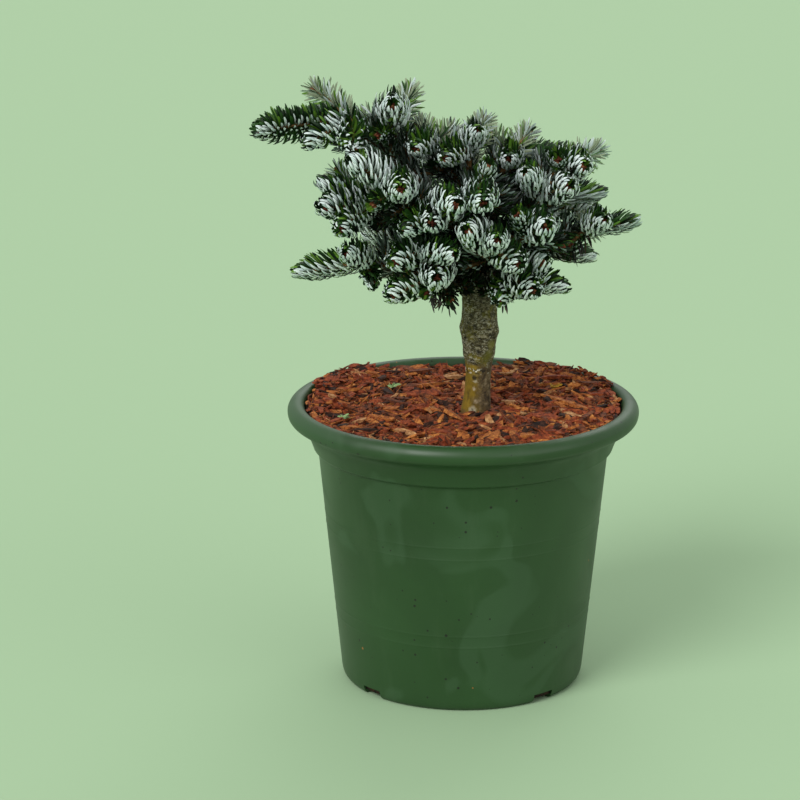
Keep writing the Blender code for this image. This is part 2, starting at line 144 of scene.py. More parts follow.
def groupTree(name, inputs, outputs):
    tree = bpy.data.node_groups.new(name, "ShaderNodeTree")
    for label, kind, value in inputs:
        tree.interface.new_socket(label, in_out="INPUT", socket_type=kind).default_value = value
    for label, kind in outputs:
        tree.interface.new_socket(label, in_out="OUTPUT", socket_type=kind)
    return tree, tree.nodes.new("NodeGroupInput").outputs, tree.nodes.new("NodeGroupOutput").inputs


def feed(tree, value, socket):
    if isinstance(value, bpy.types.NodeSocket):
        tree.links.new(value, socket)
    else:
        socket.default_value = value


def noiseOf(tree, place, scale, detail=4.0, roughness=0.6, distortion=0.0):
    node = tree.nodes.new("ShaderNodeTexNoise")
    feed(tree, place, node.inputs["Vector"])
    feed(tree, scale, node.inputs["Scale"])
    feed(tree, detail, node.inputs["Detail"])
    feed(tree, roughness, node.inputs["Roughness"])
    feed(tree, distortion, node.inputs["Distortion"])
    return node.outputs["Fac"]


def rangeOf(tree, value, low, high, toLow=0.0, toHigh=1.0):
    node = tree.nodes.new("ShaderNodeMapRange")
    feed(tree, value, node.inputs["Value"])
    feed(tree, low, node.inputs["From Min"])
    feed(tree, high, node.inputs["From Max"])
    feed(tree, toLow, node.inputs["To Min"])
    feed(tree, toHigh, node.inputs["To Max"])
    return node.outputs["Result"]


def mathOf(tree, operation, first, second, third=0.0):
    node = tree.nodes.new("ShaderNodeMath")
    node.operation = operation
    feed(tree, first, node.inputs[0])
    feed(tree, second, node.inputs[1])
    feed(tree, third, node.inputs[2])
    return node.outputs[0]


def mixOf(tree, factor, low, high):
    node = tree.nodes.new("ShaderNodeMix")
    node.data_type = "RGBA"
    feed(tree, factor, node.inputs["Factor"])
    feed(tree, low, node.inputs[6])
    feed(tree, high, node.inputs[7])
    return node.outputs[2]


def bumpOf(tree, height, strength, distance, normal=None):
    node = tree.nodes.new("ShaderNodeBump")
    feed(tree, height, node.inputs["Height"])
    node.inputs["Strength"].default_value = strength
    node.inputs["Distance"].default_value = distance
    if normal is not None:
        tree.links.new(normal, node.inputs["Normal"])
    return node.outputs["Normal"]


def placeOf(tree, stretch=None):
    place = tree.nodes.new("ShaderNodeTexCoord").outputs["Object"]
    if stretch is None:
        return place
    scale = tree.nodes.new("ShaderNodeCombineXYZ")
    scale.inputs[0].default_value = 1.0
    scale.inputs[1].default_value = 1.0
    feed(tree, stretch, scale.inputs[2])
    node = tree.nodes.new("ShaderNodeVectorMath")
    node.operation = "MULTIPLY"
    tree.links.new(place, node.inputs[0])
    tree.links.new(scale.outputs[0], node.inputs[1])
    return node.outputs[0]


def makeGrainGroup():
    # Bark or wood in three tones with fine dark cracks. Used by every woody piece.
    tree, given, made = groupTree("woodGrain", [
        ("Dark", "NodeSocketColor", (0.02, 0.015, 0.01, 1)), ("Middle", "NodeSocketColor", (0.1, 0.08, 0.05, 1)),
        ("Light", "NodeSocketColor", (0.2, 0.17, 0.12, 1)), ("Scale", "NodeSocketFloat", 100.0),
        ("Stretch", "NodeSocketFloat", 1.0), ("Crack", "NodeSocketFloat", 0.6),
    ], [("Color", "NodeSocketColor"), ("Height", "NodeSocketFloat")])
    place = placeOf(tree, given["Stretch"])
    broad = noiseOf(tree, place, given["Scale"], 5.0, 0.6, 0.3)
    fine = noiseOf(tree, place, mathOf(tree, "MULTIPLY", given["Scale"], 5.5), 5.0, 0.65)
    colour = mixOf(tree, rangeOf(tree, broad, 0.36, 0.50), given["Dark"], given["Middle"])
    colour = mixOf(tree, rangeOf(tree, broad, 0.52, 0.68), colour, given["Light"])
    shade = rangeOf(tree, fine, 0.34, 0.52, mathOf(tree, "SUBTRACT", 1.0, given["Crack"]), 1.0)
    scale = tree.nodes.new("ShaderNodeVectorMath")
    scale.operation = "SCALE"
    tree.links.new(colour, scale.inputs[0])
    tree.links.new(shade, scale.inputs["Scale"])
    tree.links.new(scale.outputs[0], made["Color"])
    tree.links.new(mathOf(tree, "ADD", broad, mathOf(tree, "MULTIPLY", fine, 0.6)), made["Height"])
    return tree


def makeSpeckGroup():
    # Sparse round specks, as of dirt or lichen.
    tree, given, made = groupTree("specks", [
        ("Scale", "NodeSocketFloat", 200.0), ("Size", "NodeSocketFloat", 0.3), ("Share", "NodeSocketFloat", 0.1),
    ], [("Mask", "NodeSocketFloat")])
    cells = tree.nodes.new("ShaderNodeTexVoronoi")
    tree.links.new(placeOf(tree), cells.inputs["Vector"])
    tree.links.new(given["Scale"], cells.inputs["Scale"])
    tone = tree.nodes.new("ShaderNodeSeparateColor")
    tree.links.new(cells.outputs["Color"], tone.inputs[0])
    chosen = mathOf(tree, "LESS_THAN", tone.outputs[0], given["Share"])
    wide = mathOf(tree, "MULTIPLY", given["Size"], mathOf(tree, "ADD", tone.outputs[1], 0.4))
    near = rangeOf(tree, cells.outputs["Distance"], wide, mathOf(tree, "MULTIPLY", wide, 0.7))
    tree.links.new(mathOf(tree, "MULTIPLY", chosen, near), made["Mask"])
    return tree


woodGrain = makeGrainGroup()
specks = makeSpeckGroup()


def addGroup(tree, group, **values):
    node = tree.nodes.new("ShaderNodeGroup")
    node.node_tree = group
    for label, value in values.items():
        feed(tree, value, node.inputs[label])
    return node.outputs


def newMaterial(name, roughness, specular=0.35):
    material = bpy.data.materials.new(name)
    material.use_nodes = True
    shader = material.node_tree.nodes["Principled BSDF"]
    shader.inputs["Roughness"].default_value = roughness
    shader.inputs["Specular IOR Level"].default_value = specular
    return material, material.node_tree, shader


def grainMaterial(name, dark, middle, light, scale, relief, stretch=1.0, crack=0.6, roughness=0.88):
    material, tree, shader = newMaterial(name, roughness)
    grain = addGroup(tree, woodGrain, Dark=srgb(*dark), Middle=srgb(*middle), Light=srgb(*light), Scale=scale,
                     Stretch=stretch, Crack=crack)
    tree.links.new(grain["Color"], shader.inputs["Base Color"])
    tree.links.new(bumpOf(tree, grain["Height"], 0.7, relief), shader.inputs["Normal"])
    return material


crownHeart = vec((10.0, -10.0, 330.0)) * mm
crown = {
    "far_left": (-174, 47, 135, "trunk", 0.80,
                 ((-158, -2, 70), (144, 29, 40), (-137, -15, 40), (-88, -22, 38))),
    "top_left": (171, 55, 110, "far_left", 0.50,
                 ((-90, 27, 50), (65, 32, 39), (-103, 2, 46), (142, 4, 32))),
    "top_mid_left": (172, 66, 84, "trunk", 0.90, ((110, 20, 32), (-105, 8, 47), (55, 13, 30))),
    "top_mid": (146, 83, 74, "trunk", 1.00,
                ((-82, 27, 45), (37, 53, 27), (-107, 5, 58), (95, -12, 32))),
    "top_right": (39, 64, 73, "trunk", 0.87,
                  ((39, 47, 24), (-94, 9, 54), (41, -2, 38), (120, 20, 32))),
    "right_top": (5, 45, 85, "trunk", 0.79, ((-71, 12, 43), (34, 15, 36), (-95, 19, 43))),
    "right_mid": (-13, 42, 62, "trunk", 0.72, ((-67, 20, 46), (30, -3, 50), (-105, 29, 53))),
    "right_arm": (0, 11, 80, "trunk", 0.62,
                  ((-73, 21, 39), (9, 7, 35), (75, -5, 38), (-120, -14, 26))),
    "front_right": (-48, 20, 58, "trunk", 0.66, ((-77, 20, 43), (-105, 30, 47), (-33, -9, 27))),
    "front_mid": (-92, 47, 73, "trunk", 0.83, ((-87, 4, 50), (-75, 43, 35))),
    "front_mid_left": (-122, 33, 71, "trunk", 0.74, ((-94, 3, 40), (-74, 18, 50), (-118, -4, 45))),
    "front_low": (-81, 14, 52, "trunk", 0.60, ((-87, 18, 58), (-109, 24, 56), (-67, -2, 44))),
    "front_left": (-145, 37, 88, "left_mid", 0.45, ((-89, 13, 51), (-114, -2, 44), (-142, 31, 47))),
    "left_mid": (-169, 24, 88, "trunk", 0.68,
                 ((-136, 7, 43), (-113, -7, 49), (-172, 28, 37), (137, 34, 40))),
    "left_low": (-166, -3, 83, "trunk", 0.57, ((-107, 19, 50), (-168, -6, 49), (-80, -28, 22))),
    "low_left": (-133, 8, 63, "left_low", 0.35, ((-66, 10, 54), (-120, 0, 34))),
    "bottom_left": (-130, -14, 47, "trunk", 0.54,
                    ((-92, 12, 50), (-132, -6, 48), (-106, -9, 31), (-66, -34, 24))),
    "bottom_right": (-48, -24, 37, "trunk", 0.51,
                     ((-72, 2, 47), (-27, -3, 40), (-46, 27, 36), (-106, -18, 28))),
}
rear = {
    "seed": 7,
    "tiers": (("low", -6, 68, 0.54, (52, 96, 138)), ("mid", 20, 78, 0.66, (50, 100, 148)),
              ("high", 38, 62, 0.78, (48, 96, 144))),
    "wander": 3.0, "middleLength": 46, "sideLength": 41, "middleRise": 0.7, "sideRise": 0.5,
    "spread": 44, "lift": 24, "lowestRise": -12, "stagger": 0.03,
}
trunk = {
    "curve": (vec((9.2, -12.0, 207.0)) * mm, vec((15.6, -12.5, 300.0)) * mm, vec((3.5, -5.5, 384.0)) * mm),
    "radii": ((0.0, 11.8), (0.03, 10.7), (0.09, 9.5), (0.16, 9.3), (0.21, 10.0), (0.24, 11.6),
              (0.28, 12.4), (0.34, 13.5), (0.40, 12.9), (0.48, 12.3), (0.56, 11.0), (0.66, 9.4),
              (0.78, 7.6), (0.89, 6.0), (1.0, 4.6)),
    "graft": 0.225,
}
bough = {"rootRadius": 3.3 * mm, "tipRadius": 2.3 * mm, "sideScale": 0.78, "lift": 0.12, "bend": 0.42,
         "stem": 13.0 * mm, "stemRadius": 2.4 * mm}


def crownRows():
    rows = dict(crown)
    rng = random.Random(rear["seed"])
    wander = rear["wander"]
    for tier, tierRise, tierReach, share, turns in rear["tiers"]:
        for k, tierTurn in enumerate(turns):
            turn = tierTurn + rng.uniform(-wander, wander)
            rise = tierRise + rng.uniform(-wander, wander)
            reach = tierReach + rng.uniform(-wander, wander)
            shoots = [(turn, rise * rear["middleRise"], rear["middleLength"])]
            for side in (-1, 1):
                sideRise = max(rear["lowestRise"], rise * rear["sideRise"] + side * rear["lift"])
                shoots.append((turn + side * rear["spread"], sideRise, rear["sideLength"]))
            name = "rear_{}_{}".format(tier, k + 1)
            rows[name] = (turn, rise, reach, "trunk", share + rear["stagger"] * (k % 2), tuple(shoots))
    return rows


def forkOf(row):
    return crownHeart + row[2] * mm * aim(row[0], row[1])


def limbCurves(rows):
    curves = {"trunk": trunk["curve"]}
    waiting = list(rows)
    while waiting:
        name = waiting.pop(0)
        row = rows[name]
        if row[3] not in curves:
            waiting.append(name)
            continue
        fork = forkOf(row)
        root = curvePoint(curves[row[3]], row[4])
        reach = np.linalg.norm(fork - root)
        heading = unit(fork - root + vec((0, 0, bough["lift"] * reach)))
        if row[4] == 1.0:
            heading = curveHeading(curves[row[3]], 1.0)
        tip = fork - bough["stem"] * heading
        curves[name] = (root, tip - bough["bend"] * reach * heading, tip)
    return curves


def boughRadius(row, share):
    radius = bough["rootRadius"] + share * (bough["tipRadius"] - bough["rootRadius"])
    return radius * (1.0 if row[3] == "trunk" else bough["sideScale"])


def trunkRadius(share):
    return np.interp(share, [s for s, r in trunk["radii"]], [r for s, r in trunk["radii"]]) * mm


habitLetters = {"c": "curled", "h": "cupped", "b": "bristly", "g": "green", "s": "silky", "d": "shaded"}
shootHabits = {
    "far_left": "bscc", "top_left": "csgs", "top_mid_left": "shs", "top_mid": "hshs", "top_right": "shgs",
    "right_top": "csg", "right_mid": "cgh", "right_arm": "hgsd", "front_right": "cgd", "front_mid": "cg",
    "front_mid_left": "cch", "front_low": "hcc", "front_left": "cgc", "left_mid": "cchs", "left_low": "hhh",
    "low_left": "hc", "bottom_left": "ccgd", "bottom_right": "chcc",
    "rear_low_1": "chc", "rear_low_2": "hcg", "rear_low_3": "cgh", "rear_mid_1": "hcs", "rear_mid_2": "chc",
    "rear_mid_3": "gch", "rear_high_1": "hsc", "rear_high_2": "shh", "rear_high_3": "hsc",
}

rows = crownRows()
curves = limbCurves(rows)
shoots = []
for massName, row in rows.items():
    for (turn, rise, length), letter in zip(row[5], shootHabits[massName]):
        shoots.append({"mass": massName, "fork": forkOf(row), "along": aim(turn, rise), "length": length * mm,
                       "habit": habitLetters[letter]})
limbSegments = []
for limbName, limb in curves.items():
    steps = 12 if limbName == "trunk" else 4
    if limbName != "trunk" and rows[limbName][4] == 1.0:
        continue
    for step in range(steps):
        low, high = step / steps, (step + 1) / steps
        radius = trunkRadius(low) if limbName == "trunk" else boughRadius(rows[limbName], low)
        limbSegments.append((curvePoint(limb, low), curvePoint(limb, high), radius))
print("stage: crown worked out,", len(rows), "masses and", len(shoots), "shoots")



needle = {
    "turn": 137.508,      # degrees between one needle and the next round the twig
    "bareBase": 1.5, "tipZone": 15.0, "twigRadius": 1.2, "crowding": 1.22,
    "fine": ((0.0, 0.45), (0.16, 0.88), (0.40, 1.0), (0.66, 0.98), (0.88, 0.78), (1.0, 0.28)),
    "plain": ((0.0, 0.55), (0.55, 1.0), (1.0, 0.30)),
    "stripe": 0.86, "midrib": 0.08, "thick": 0.40, "belly": 0.16,
    "room": 3.6, "share": 0.68,
}
# lean: forward start. up, forward, inward: where the tip heads. tipCurl: inward at the shoot's tip.
# sweep: how far it may bend, in degrees. greenTop: how high round the twig its green face shows.
habits = {
    "curled": {"lean": 0.35, "up": 0.80, "forward": 0.28, "inward": 0.42, "tipCurl": 1.05, "sweep": 140,
               "power": 1.6, "length": 19.0, "width": 2.15, "dense": 3.0, "greenTop": 0.80,
               "greens": (0.42, 0.36, 0.16, 0.06, 0.0), "silvers": (0.76, 0.20, 0.04, 0.0, 0.0)},
    "cupped": {"lean": 0.55, "up": 0.58, "forward": 0.42, "inward": 0.22, "tipCurl": 0.95, "sweep": 120,
               "power": 1.5, "length": 16.5, "width": 2.05, "dense": 3.1, "greenTop": 0.50,
               "greens": (0.38, 0.38, 0.20, 0.04, 0.0), "silvers": (0.70, 0.24, 0.06, 0.0, 0.0)},
    "bristly": {"lean": 0.16, "up": 0.45, "forward": 0.36, "inward": -0.46, "tipCurl": 0.55, "sweep": 90,
                "power": 1.5, "length": 14.6, "width": 2.35, "dense": 4.6, "greenTop": 0.56,
                "greens": (0.46, 0.38, 0.16, 0.0, 0.0), "silvers": (0.84, 0.16, 0.0, 0.0, 0.0)},
    "green": {"lean": 0.70, "up": 0.38, "forward": 0.75, "inward": -0.12, "tipCurl": 0.40, "sweep": 75,
              "power": 1.3, "length": 14.0, "width": 1.95, "dense": 3.0, "greenTop": 0.25,
              "greens": (0.34, 0.42, 0.22, 0.02, 0.0), "silvers": (0.46, 0.34, 0.20, 0.0, 0.0)},
    "silky": {"lean": 0.55, "up": 0.18, "forward": 0.42, "inward": -0.72, "tipCurl": -0.40, "sweep": 45,
              "power": 1.1, "length": 14.2, "width": 1.75, "dense": 3.7, "greenTop": 2.0,
              "greens": (0.03, 0.12, 0.17, 0.0, 0.68), "silvers": (0.30, 0.36, 0.16, 0.18, 0.0)},
    # The shaded habit's colour deal is painted shade: mostly the near-black green and the darkened silver, for shoots
    # in the crown's heart and in its shadow.
    "shaded": {"lean": 0.85, "up": 0.40, "forward": 0.80, "inward": 0.0, "tipCurl": 0.0, "sweep": 60,
               "power": 1.2, "length": 13.5, "width": 2.1, "dense": 1.8, "greenTop": 0.0,
               "greens": (0.44, 0.20, 0.02, 0.34, 0.0), "silvers": (0.02, 0.08, 0.25, 0.15, 0.50)},
}
greens = [
    plainMaterial("needle_green_deep", srgb(18, 40, 16), 0.45),
    plainMaterial("needle_green_mid", srgb(38, 74, 24), 0.45),
    plainMaterial("needle_green_fresh", srgb(92, 130, 42), 0.45),
    # Painted shade: a near-black green, dealt mostly to the shaded habit's needles.
    plainMaterial("needle_green_shade", srgb(18, 26, 18), 0.55),
    plainMaterial("needle_green_grey", srgb(142, 154, 126), 0.6),
]
silvers = [
    plainMaterial("needle_silver_bright", srgb(226, 235, 236), 0.65),
    plainMaterial("needle_silver_mid", srgb(200, 214, 214), 0.65),
    plainMaterial("needle_silver_soft", srgb(152, 172, 168), 0.65),
    plainMaterial("needle_silver_grey", srgb(162, 172, 170), 0.65),
    # Painted shade: a darkened silver, dealt mostly to the shaded habit's needles.
    plainMaterial("needle_silver_painted_shade", srgb(78, 92, 84), 0.65),
]
needleMaterials = greens + silvers
needleGroups = {
    "needles_left": ("far_left", "left_mid", "left_low", "low_left"),
    "needles_top": ("top_left", "top_mid_left", "top_mid", "top_right"),
    "needles_right": ("right_top", "right_mid", "right_arm", "front_right"),
    "needles_front": ("front_mid", "front_mid_left", "front_left"),
    "needles_low": ("front_low", "bottom_left", "bottom_right"),
    "needles_rear_low": ("rear_low_1", "rear_low_2", "rear_low_3"),
    "needles_rear_mid": ("rear_mid_1", "rear_mid_2", "rear_mid_3"),
    "needles_rear_high": ("rear_high_1", "rear_high_2", "rear_high_3"),
}


def needleShapes(base, start, end, length, width, twist, sweepLimit, power, outline="fine"):
    # Each needle bends in one plane from its start heading towards its end heading, silver side outward.
    cosine = np.clip(np.sum(start * end, axis=1), -0.999, 0.999)
    sweep = np.minimum(np.arccos(cosine), math.radians(sweepLimit))
    across = unit(end - cosine[:, None] * start)

    def heading(share):
        angle = (sweep * share ** power)[:, None]
        return np.cos(angle) * start + np.sin(angle) * across, -np.sin(angle) * start + np.cos(angle) * across

    rings = []
    point = base.copy()
    side = unit(np.cross(start, across))
    cosTwist, sinTwist = np.cos(twist)[:, None], np.sin(twist)[:, None]
    before = 0.0
    for share, wideness in needle[outline]:
        middle, unused = heading((before + share) / 2)
        point = point + middle * (length * (share - before))[:, None]
        before = share
        along, inner = heading(share)
        wide = cosTwist * side + sinTwist * inner
        inner = -sinTwist * side + cosTwist * inner
        half = wide * (width * wideness / 2)[:, None]
        belly = inner * needle["belly"] * wideness * mm
        ridge = inner * needle["thick"] * wideness * mm
        stripe, rib = half * needle["stripe"], half * needle["midrib"]
        rings.append(np.stack([point - half, point - stripe - belly, point - rib - belly, point + rib - belly,
                               point + stripe - belly, point + half, point + half, point + ridge, point - half], axis=1))
    return np.stack(rings, axis=1)


def needleLoops(count, stations):
    ring = 9
    pairs = ((0, 1, 0), (1, 2, 1), (2, 3, 2), (3, 4, 1), (4, 5, 0), (6, 7, 0), (7, 8, 0))
    quads, kind = [], []
    for s in range(stations - 1):
        for a, b, k in pairs:
            low, high = s * ring, (s + 1) * ring
            quads.append((low + a, low + b, high + b, high + a))
            kind.append(k)
    offsets = np.arange(count) * stations * ring
    quads = np.array(quads)[None] + offsets[:, None, None]
    return quads.reshape(-1), np.tile(np.array(kind), count)


def clearOfOthers(shapes, shoot, others):
    keep = np.ones(len(shapes), bool)
    own = shoot["fork"] + shoot["length"] * shoot["along"]
    for station in (shapes.shape[1] // 3, 2 * shapes.shape[1] // 3, -1):
        points = shapes[:, station].mean(axis=1)
        away = segmentDistance(points, shoot["fork"], own)
        for other in others:
            end = other["fork"] + other["length"] * other["along"]
            if other is shoot or segmentDistance(own[None], other["fork"], end)[0] > 0.09:
                continue
            keep &= segmentDistance(points, other["fork"], end) > np.maximum(needle["room"] * mm, needle["share"] * away)
        for a, b, radius in limbSegments:
            keep &= segmentDistance(points, a, b) > radius + 0.5 * mm
    return shapes[keep]


def shootNeedles(shoot, rng, outline="fine"):
    habit = habits[shoot["habit"]]
    length, along = shoot["length"] / mm, shoot["along"]
    first, last = needle["bareBase"], length - 0.8
    count = int((last - first) * habit["dense"])
    order = np.arange(count)
    gone = np.clip((order + rng.uniform(-0.3, 0.3, count)) / count, 0, 1)
    distance = first + (last - first) * (1.0 - (1.0 - gone) ** needle["crowding"])
    side, up = sideAndUp(along)
    turn = np.radians(order * needle["turn"]) + rng.uniform(-0.10, 0.10, count)
    radial = np.cos(turn)[:, None] * up + np.sin(turn)[:, None] * side
    sky = vec((0, 0, 1)) - along * along[2]
    nearTip = np.clip(1.0 - (length - distance) / needle["tipZone"], 0, 1)[:, None]
    inward = habit["inward"] + (habit["tipCurl"] - habit["inward"]) * nearTip
    start = unit(radial + along * (habit["lean"] + 0.45 * nearTip) + rng.normal(0, 0.05, (count, 3)))
    end = unit(sky * habit["up"] * (1.0 - 0.55 * nearTip) + along * (habit["forward"] + 0.12 * nearTip)
               - radial * inward + rng.normal(0, 0.07, (count, 3)))
    size = habit["length"] * (1.0 - 0.36 * nearTip[:, 0]) * rng.normal(1.0, 0.06, count)
    size *= np.clip(0.78 + distance / 30.0, 0.78, 1.0)
    base = shoot["fork"] + distance[:, None] * mm * along + radial * needle["twigRadius"] * mm
    width = habit["width"] * mm * rng.uniform(0.9, 1.1, count)
    return needleShapes(base, start, end, size * mm, width, rng.normal(0, 0.12, count), habit["sweep"],
                        habit["power"], outline)


def needleSlots(shapes, habit, rng, shoot=None):
    # The first number is the green faces' material, then the two silver stripes' and the midrib's.
    deal = habits[habit]
    green = rng.choice(len(greens), len(shapes), p=deal["greens"])
    silver = len(greens) + rng.choice(len(silvers), len(shapes), p=deal["silvers"])
    rib = np.where(silver < len(greens) + 2, len(greens) + 2, np.where(silver < len(greens) + 4, 4, 3))
    if shoot:
        out = shapes[:, 0].mean(axis=1) - shoot["fork"]
        out = unit(out - (out @ shoot["along"])[:, None] * shoot["along"])
        high = out[:, 2] + rng.normal(0, 0.12, len(shapes)) > deal["greenTop"]
        silver = np.where(high, green, silver)
        rib = np.where(high, green, rib)
    return np.stack([green, silver, rib], axis=1)


def joinNeedles(name, blocks, slotBlocks, nodes=()):
    shapes, slots = np.concatenate(blocks), np.concatenate(slotBlocks)
    loops, kind = needleLoops(len(shapes), shapes.shape[1])
    faces = slots[np.repeat(np.arange(len(shapes)), len(kind) // len(shapes)), kind]
    piece = makeMesh(name, shapes.reshape(-1, 3), 4, loops, needleMaterials, faces)
    place(piece, "needles", nodes)
    return len(shapes)


def makeNeedles():
    total = 0
    for k, shoot in enumerate(shoots):
        shoot["seed"] = 100 + k
    for name, masses in needleGroups.items():
        blocks, slotBlocks = [], []
        for shoot in shoots:
            if shoot["mass"] in masses:
                rng = np.random.default_rng(shoot["seed"])
                shapes = clearOfOthers(shootNeedles(shoot, rng), shoot, shoots)
                blocks.append(shapes)
                slotBlocks.append(needleSlots(shapes, shoot["habit"], rng, shoot))
        total += joinNeedles(name, blocks, slotBlocks, ["mass_" + m for m in masses])
    print("stage: needles made,", total)


makeNeedles()


spur = {"shares": (0.5, 0.72, 0.93), "length": 24.0, "spread": 0.9, "outward": 0.55, "room": 7.0, "lowestRise": -0.25,
        "onTrunk": 26, "lowest": 0.56, "trunkLength": 27.0}


def makeSpurs():
    # Short twigs fill the heart of the crown, between the boughs and the shoots; their needles get the shaded habit's
    # painted shade colours.
    rng = np.random.default_rng(12)
    spurs, blocks, slotBlocks = [], [], []

    def tryTwig(mass, base, heading, length):
        points = base + heading * np.linspace(0.45, 1.0, 5)[:, None] * length
        near = [segmentDistance(points, s["fork"], s["fork"] + s["length"] * s["along"]).min() for s in shoots + spurs]
        limbs = [segmentDistance(points, a, b).min() - radius for a, b, radius in limbSegments]
        if heading[2] > spur["lowestRise"] and min(near) > spur["room"] * mm and min(limbs) > 3.0 * mm:
            spurs.append({"mass": mass, "fork": base, "along": heading, "length": length, "habit": "shaded"})

    for k in range(spur["onTrunk"]):
        share = spur["lowest"] + (0.98 - spur["lowest"]) * k / (spur["onTrunk"] - 1)
        heading = aim(k * needle["turn"] - 90, 25 + rng.uniform(-15, 15))
        tryTwig("trunk", curvePoint(curves["trunk"], share), heading,
                trunkRadius(share) + (spur["trunkLength"] - 8.0 * share) * mm)
    for name, row in rows.items():
        if row[4] == 1.0:
            continue
        for share in spur["shares"]:
            for quarter in range(4):
                along = curveHeading(curves[name], share)
                side, up = sideAndUp(along)
                roll = quarter * math.pi / 2 + rng.uniform(-0.5, 0.5)
                outward = unit(math.cos(roll) * side + math.sin(roll) * up)
                heading = unit(outward * spur["spread"] + along * spur["outward"])
                tryTwig(name, curvePoint(curves[name], share), heading, (spur["length"] + rng.uniform(-4, 3)) * mm)
    for twig in spurs:
        shapes = clearOfOthers(shootNeedles(twig, rng, "plain"), twig, shoots + spurs)
        if len(shapes):
            blocks.append(shapes)
            slotBlocks.append(needleSlots(shapes, "shaded", rng))
    total = joinNeedles("needles_heart", blocks, slotBlocks)
    print("stage: spurs made,", len(spurs), "with", total, "needles")
    return spurs


spurs = makeSpurs()


bud = {"count": 4, "length": 4.0, "radius": 1.35, "splay": 0.60, "rings": 6, "sides": 8, "setBack": 1.0}
budMaterials = [
    grainMaterial("bud_rust", (70, 28, 18), (114, 50, 31), (154, 84, 56), 420.0, 0.0003),
    grainMaterial("bud_brown", (60, 26, 18), (100, 44, 30), (140, 74, 50), 420.0, 0.0003),
    grainMaterial("bud_tan", (110, 60, 36), (162, 98, 64), (204, 150, 112), 420.0, 0.0003),
]


def ovoid(centre, along, length, radius, rings, sides, rng):
    side, up = sideAndUp(along)
    vertices = []
    for k in range(rings):
        share = k / (rings - 1)
        swell = math.sin(math.pi * (0.06 + 0.90 * share) ** 0.8)
        for j in range(sides):
            angle = 2 * math.pi * (j + 0.5 * (k % 2)) / sides
            scale = swell * radius * (1.0 + 0.10 * (j % 2) + rng.uniform(-0.06, 0.06))
            vertices.append(centre + along * length * (share - 0.35) + scale * (math.cos(angle) * up + math.sin(angle) * side))
    return vertices


def makeBuds():
    rng = random.Random(31)
    vertices, quads, slots = [], [], []
    for shoot in shoots:
        along = shoot["along"]
        side, up = sideAndUp(along)
        tip = shoot["fork"] + along * (shoot["length"] - bud["setBack"] * mm)
        count = bud["count"] + rng.choice((-1, 0, 1))
        for k in range(count + 1):
            heading = along
            centre = tip + along * 1.2 * mm
            if k:
                angle = 2 * math.pi * k / count + rng.uniform(-0.4, 0.4)
                outward = math.cos(angle) * up + math.sin(angle) * side
                heading = unit(along + bud["splay"] * outward)
                centre = tip + outward * 1.6 * mm
            size = rng.uniform(0.85, 1.15)
            first = len(vertices)
            vertices.extend(ovoid(centre, heading, bud["length"] * size * mm, bud["radius"] * size * mm,
                                  bud["rings"], bud["sides"], rng))
            grid = gridLoops(bud["rings"], bud["sides"], first)
            quads.append(grid)
            slots.extend([rng.choice((0, 0, 1, 2))] * len(grid))
    piece = makeMesh("buds", vertices, 4, np.concatenate(quads).ravel(), budMaterials, slots)
    place(piece, "bough_bark")
    print("stage: buds made")


makeBuds()


def noiseAt(point, scale, seed=0.0):
    return noise.noise(Vector((point[0] * scale + seed, point[1] * scale, point[2] * scale)))


def limbTube(curve, radiusAt, rings, sides, relief, start=0.0, end=1.0, seed=0.0):
    vertices = []
    for k in range(rings):
        share = start + (end - start) * k / (rings - 1)
        centre = curvePoint(curve, share)
        along = curveHeading(curve, share)
        side, up = sideAndUp(along)
        radius = radiusAt(share)
        for j in range(sides):
            angle = 2 * math.pi * j / sides
            outward = math.cos(angle) * up + math.sin(angle) * side
            point = centre + radius * outward
            lump = noiseAt(point, 160, seed) + 0.5 * noiseAt(point, 420, seed + 7)
            vertices.append(centre + (radius + relief * lump) * outward)
    return vertices, gridLoops(rings, sides)


boughBark = grainMaterial("bough_bark", (44, 34, 24), (86, 68, 48), (126, 104, 78), 90.0, 0.0008)
twigBark = grainMaterial("twig_bark", (72, 50, 26), (122, 90, 48), (160, 124, 76), 160.0, 0.0004)


def makeBoughs():
    vertices, quads, names = [], [], []
    for k, (name, row) in enumerate(rows.items()):
        if row[4] == 1.0:
            continue
        parent = row[3]
        clearance = trunkRadius(row[4]) if parent == "trunk" else boughRadius(rows[parent], row[4])
        reach = np.linalg.norm(curves[name][2] - curves[name][0])
        start = min(0.5, 0.55 * clearance / reach)

        def radiusAt(share, row=row, start=start):
            collar = 1.0 + 0.45 * math.exp(-((share - start) / 0.10) ** 2)
            return boughRadius(row, share) * collar

        tube, grid = limbTube(curves[name], radiusAt, 20, 14, 0.45 * mm, start, 1.0, k * 1.7)
        quads.append(grid + len(vertices))
        vertices.extend(tube)
        names.append("bough_" + name)
    piece = makeMesh("boughs", vertices, 4, np.concatenate(quads).ravel(), [boughBark])
    place(piece, "bough_bark", names)
    print("stage: boughs made")


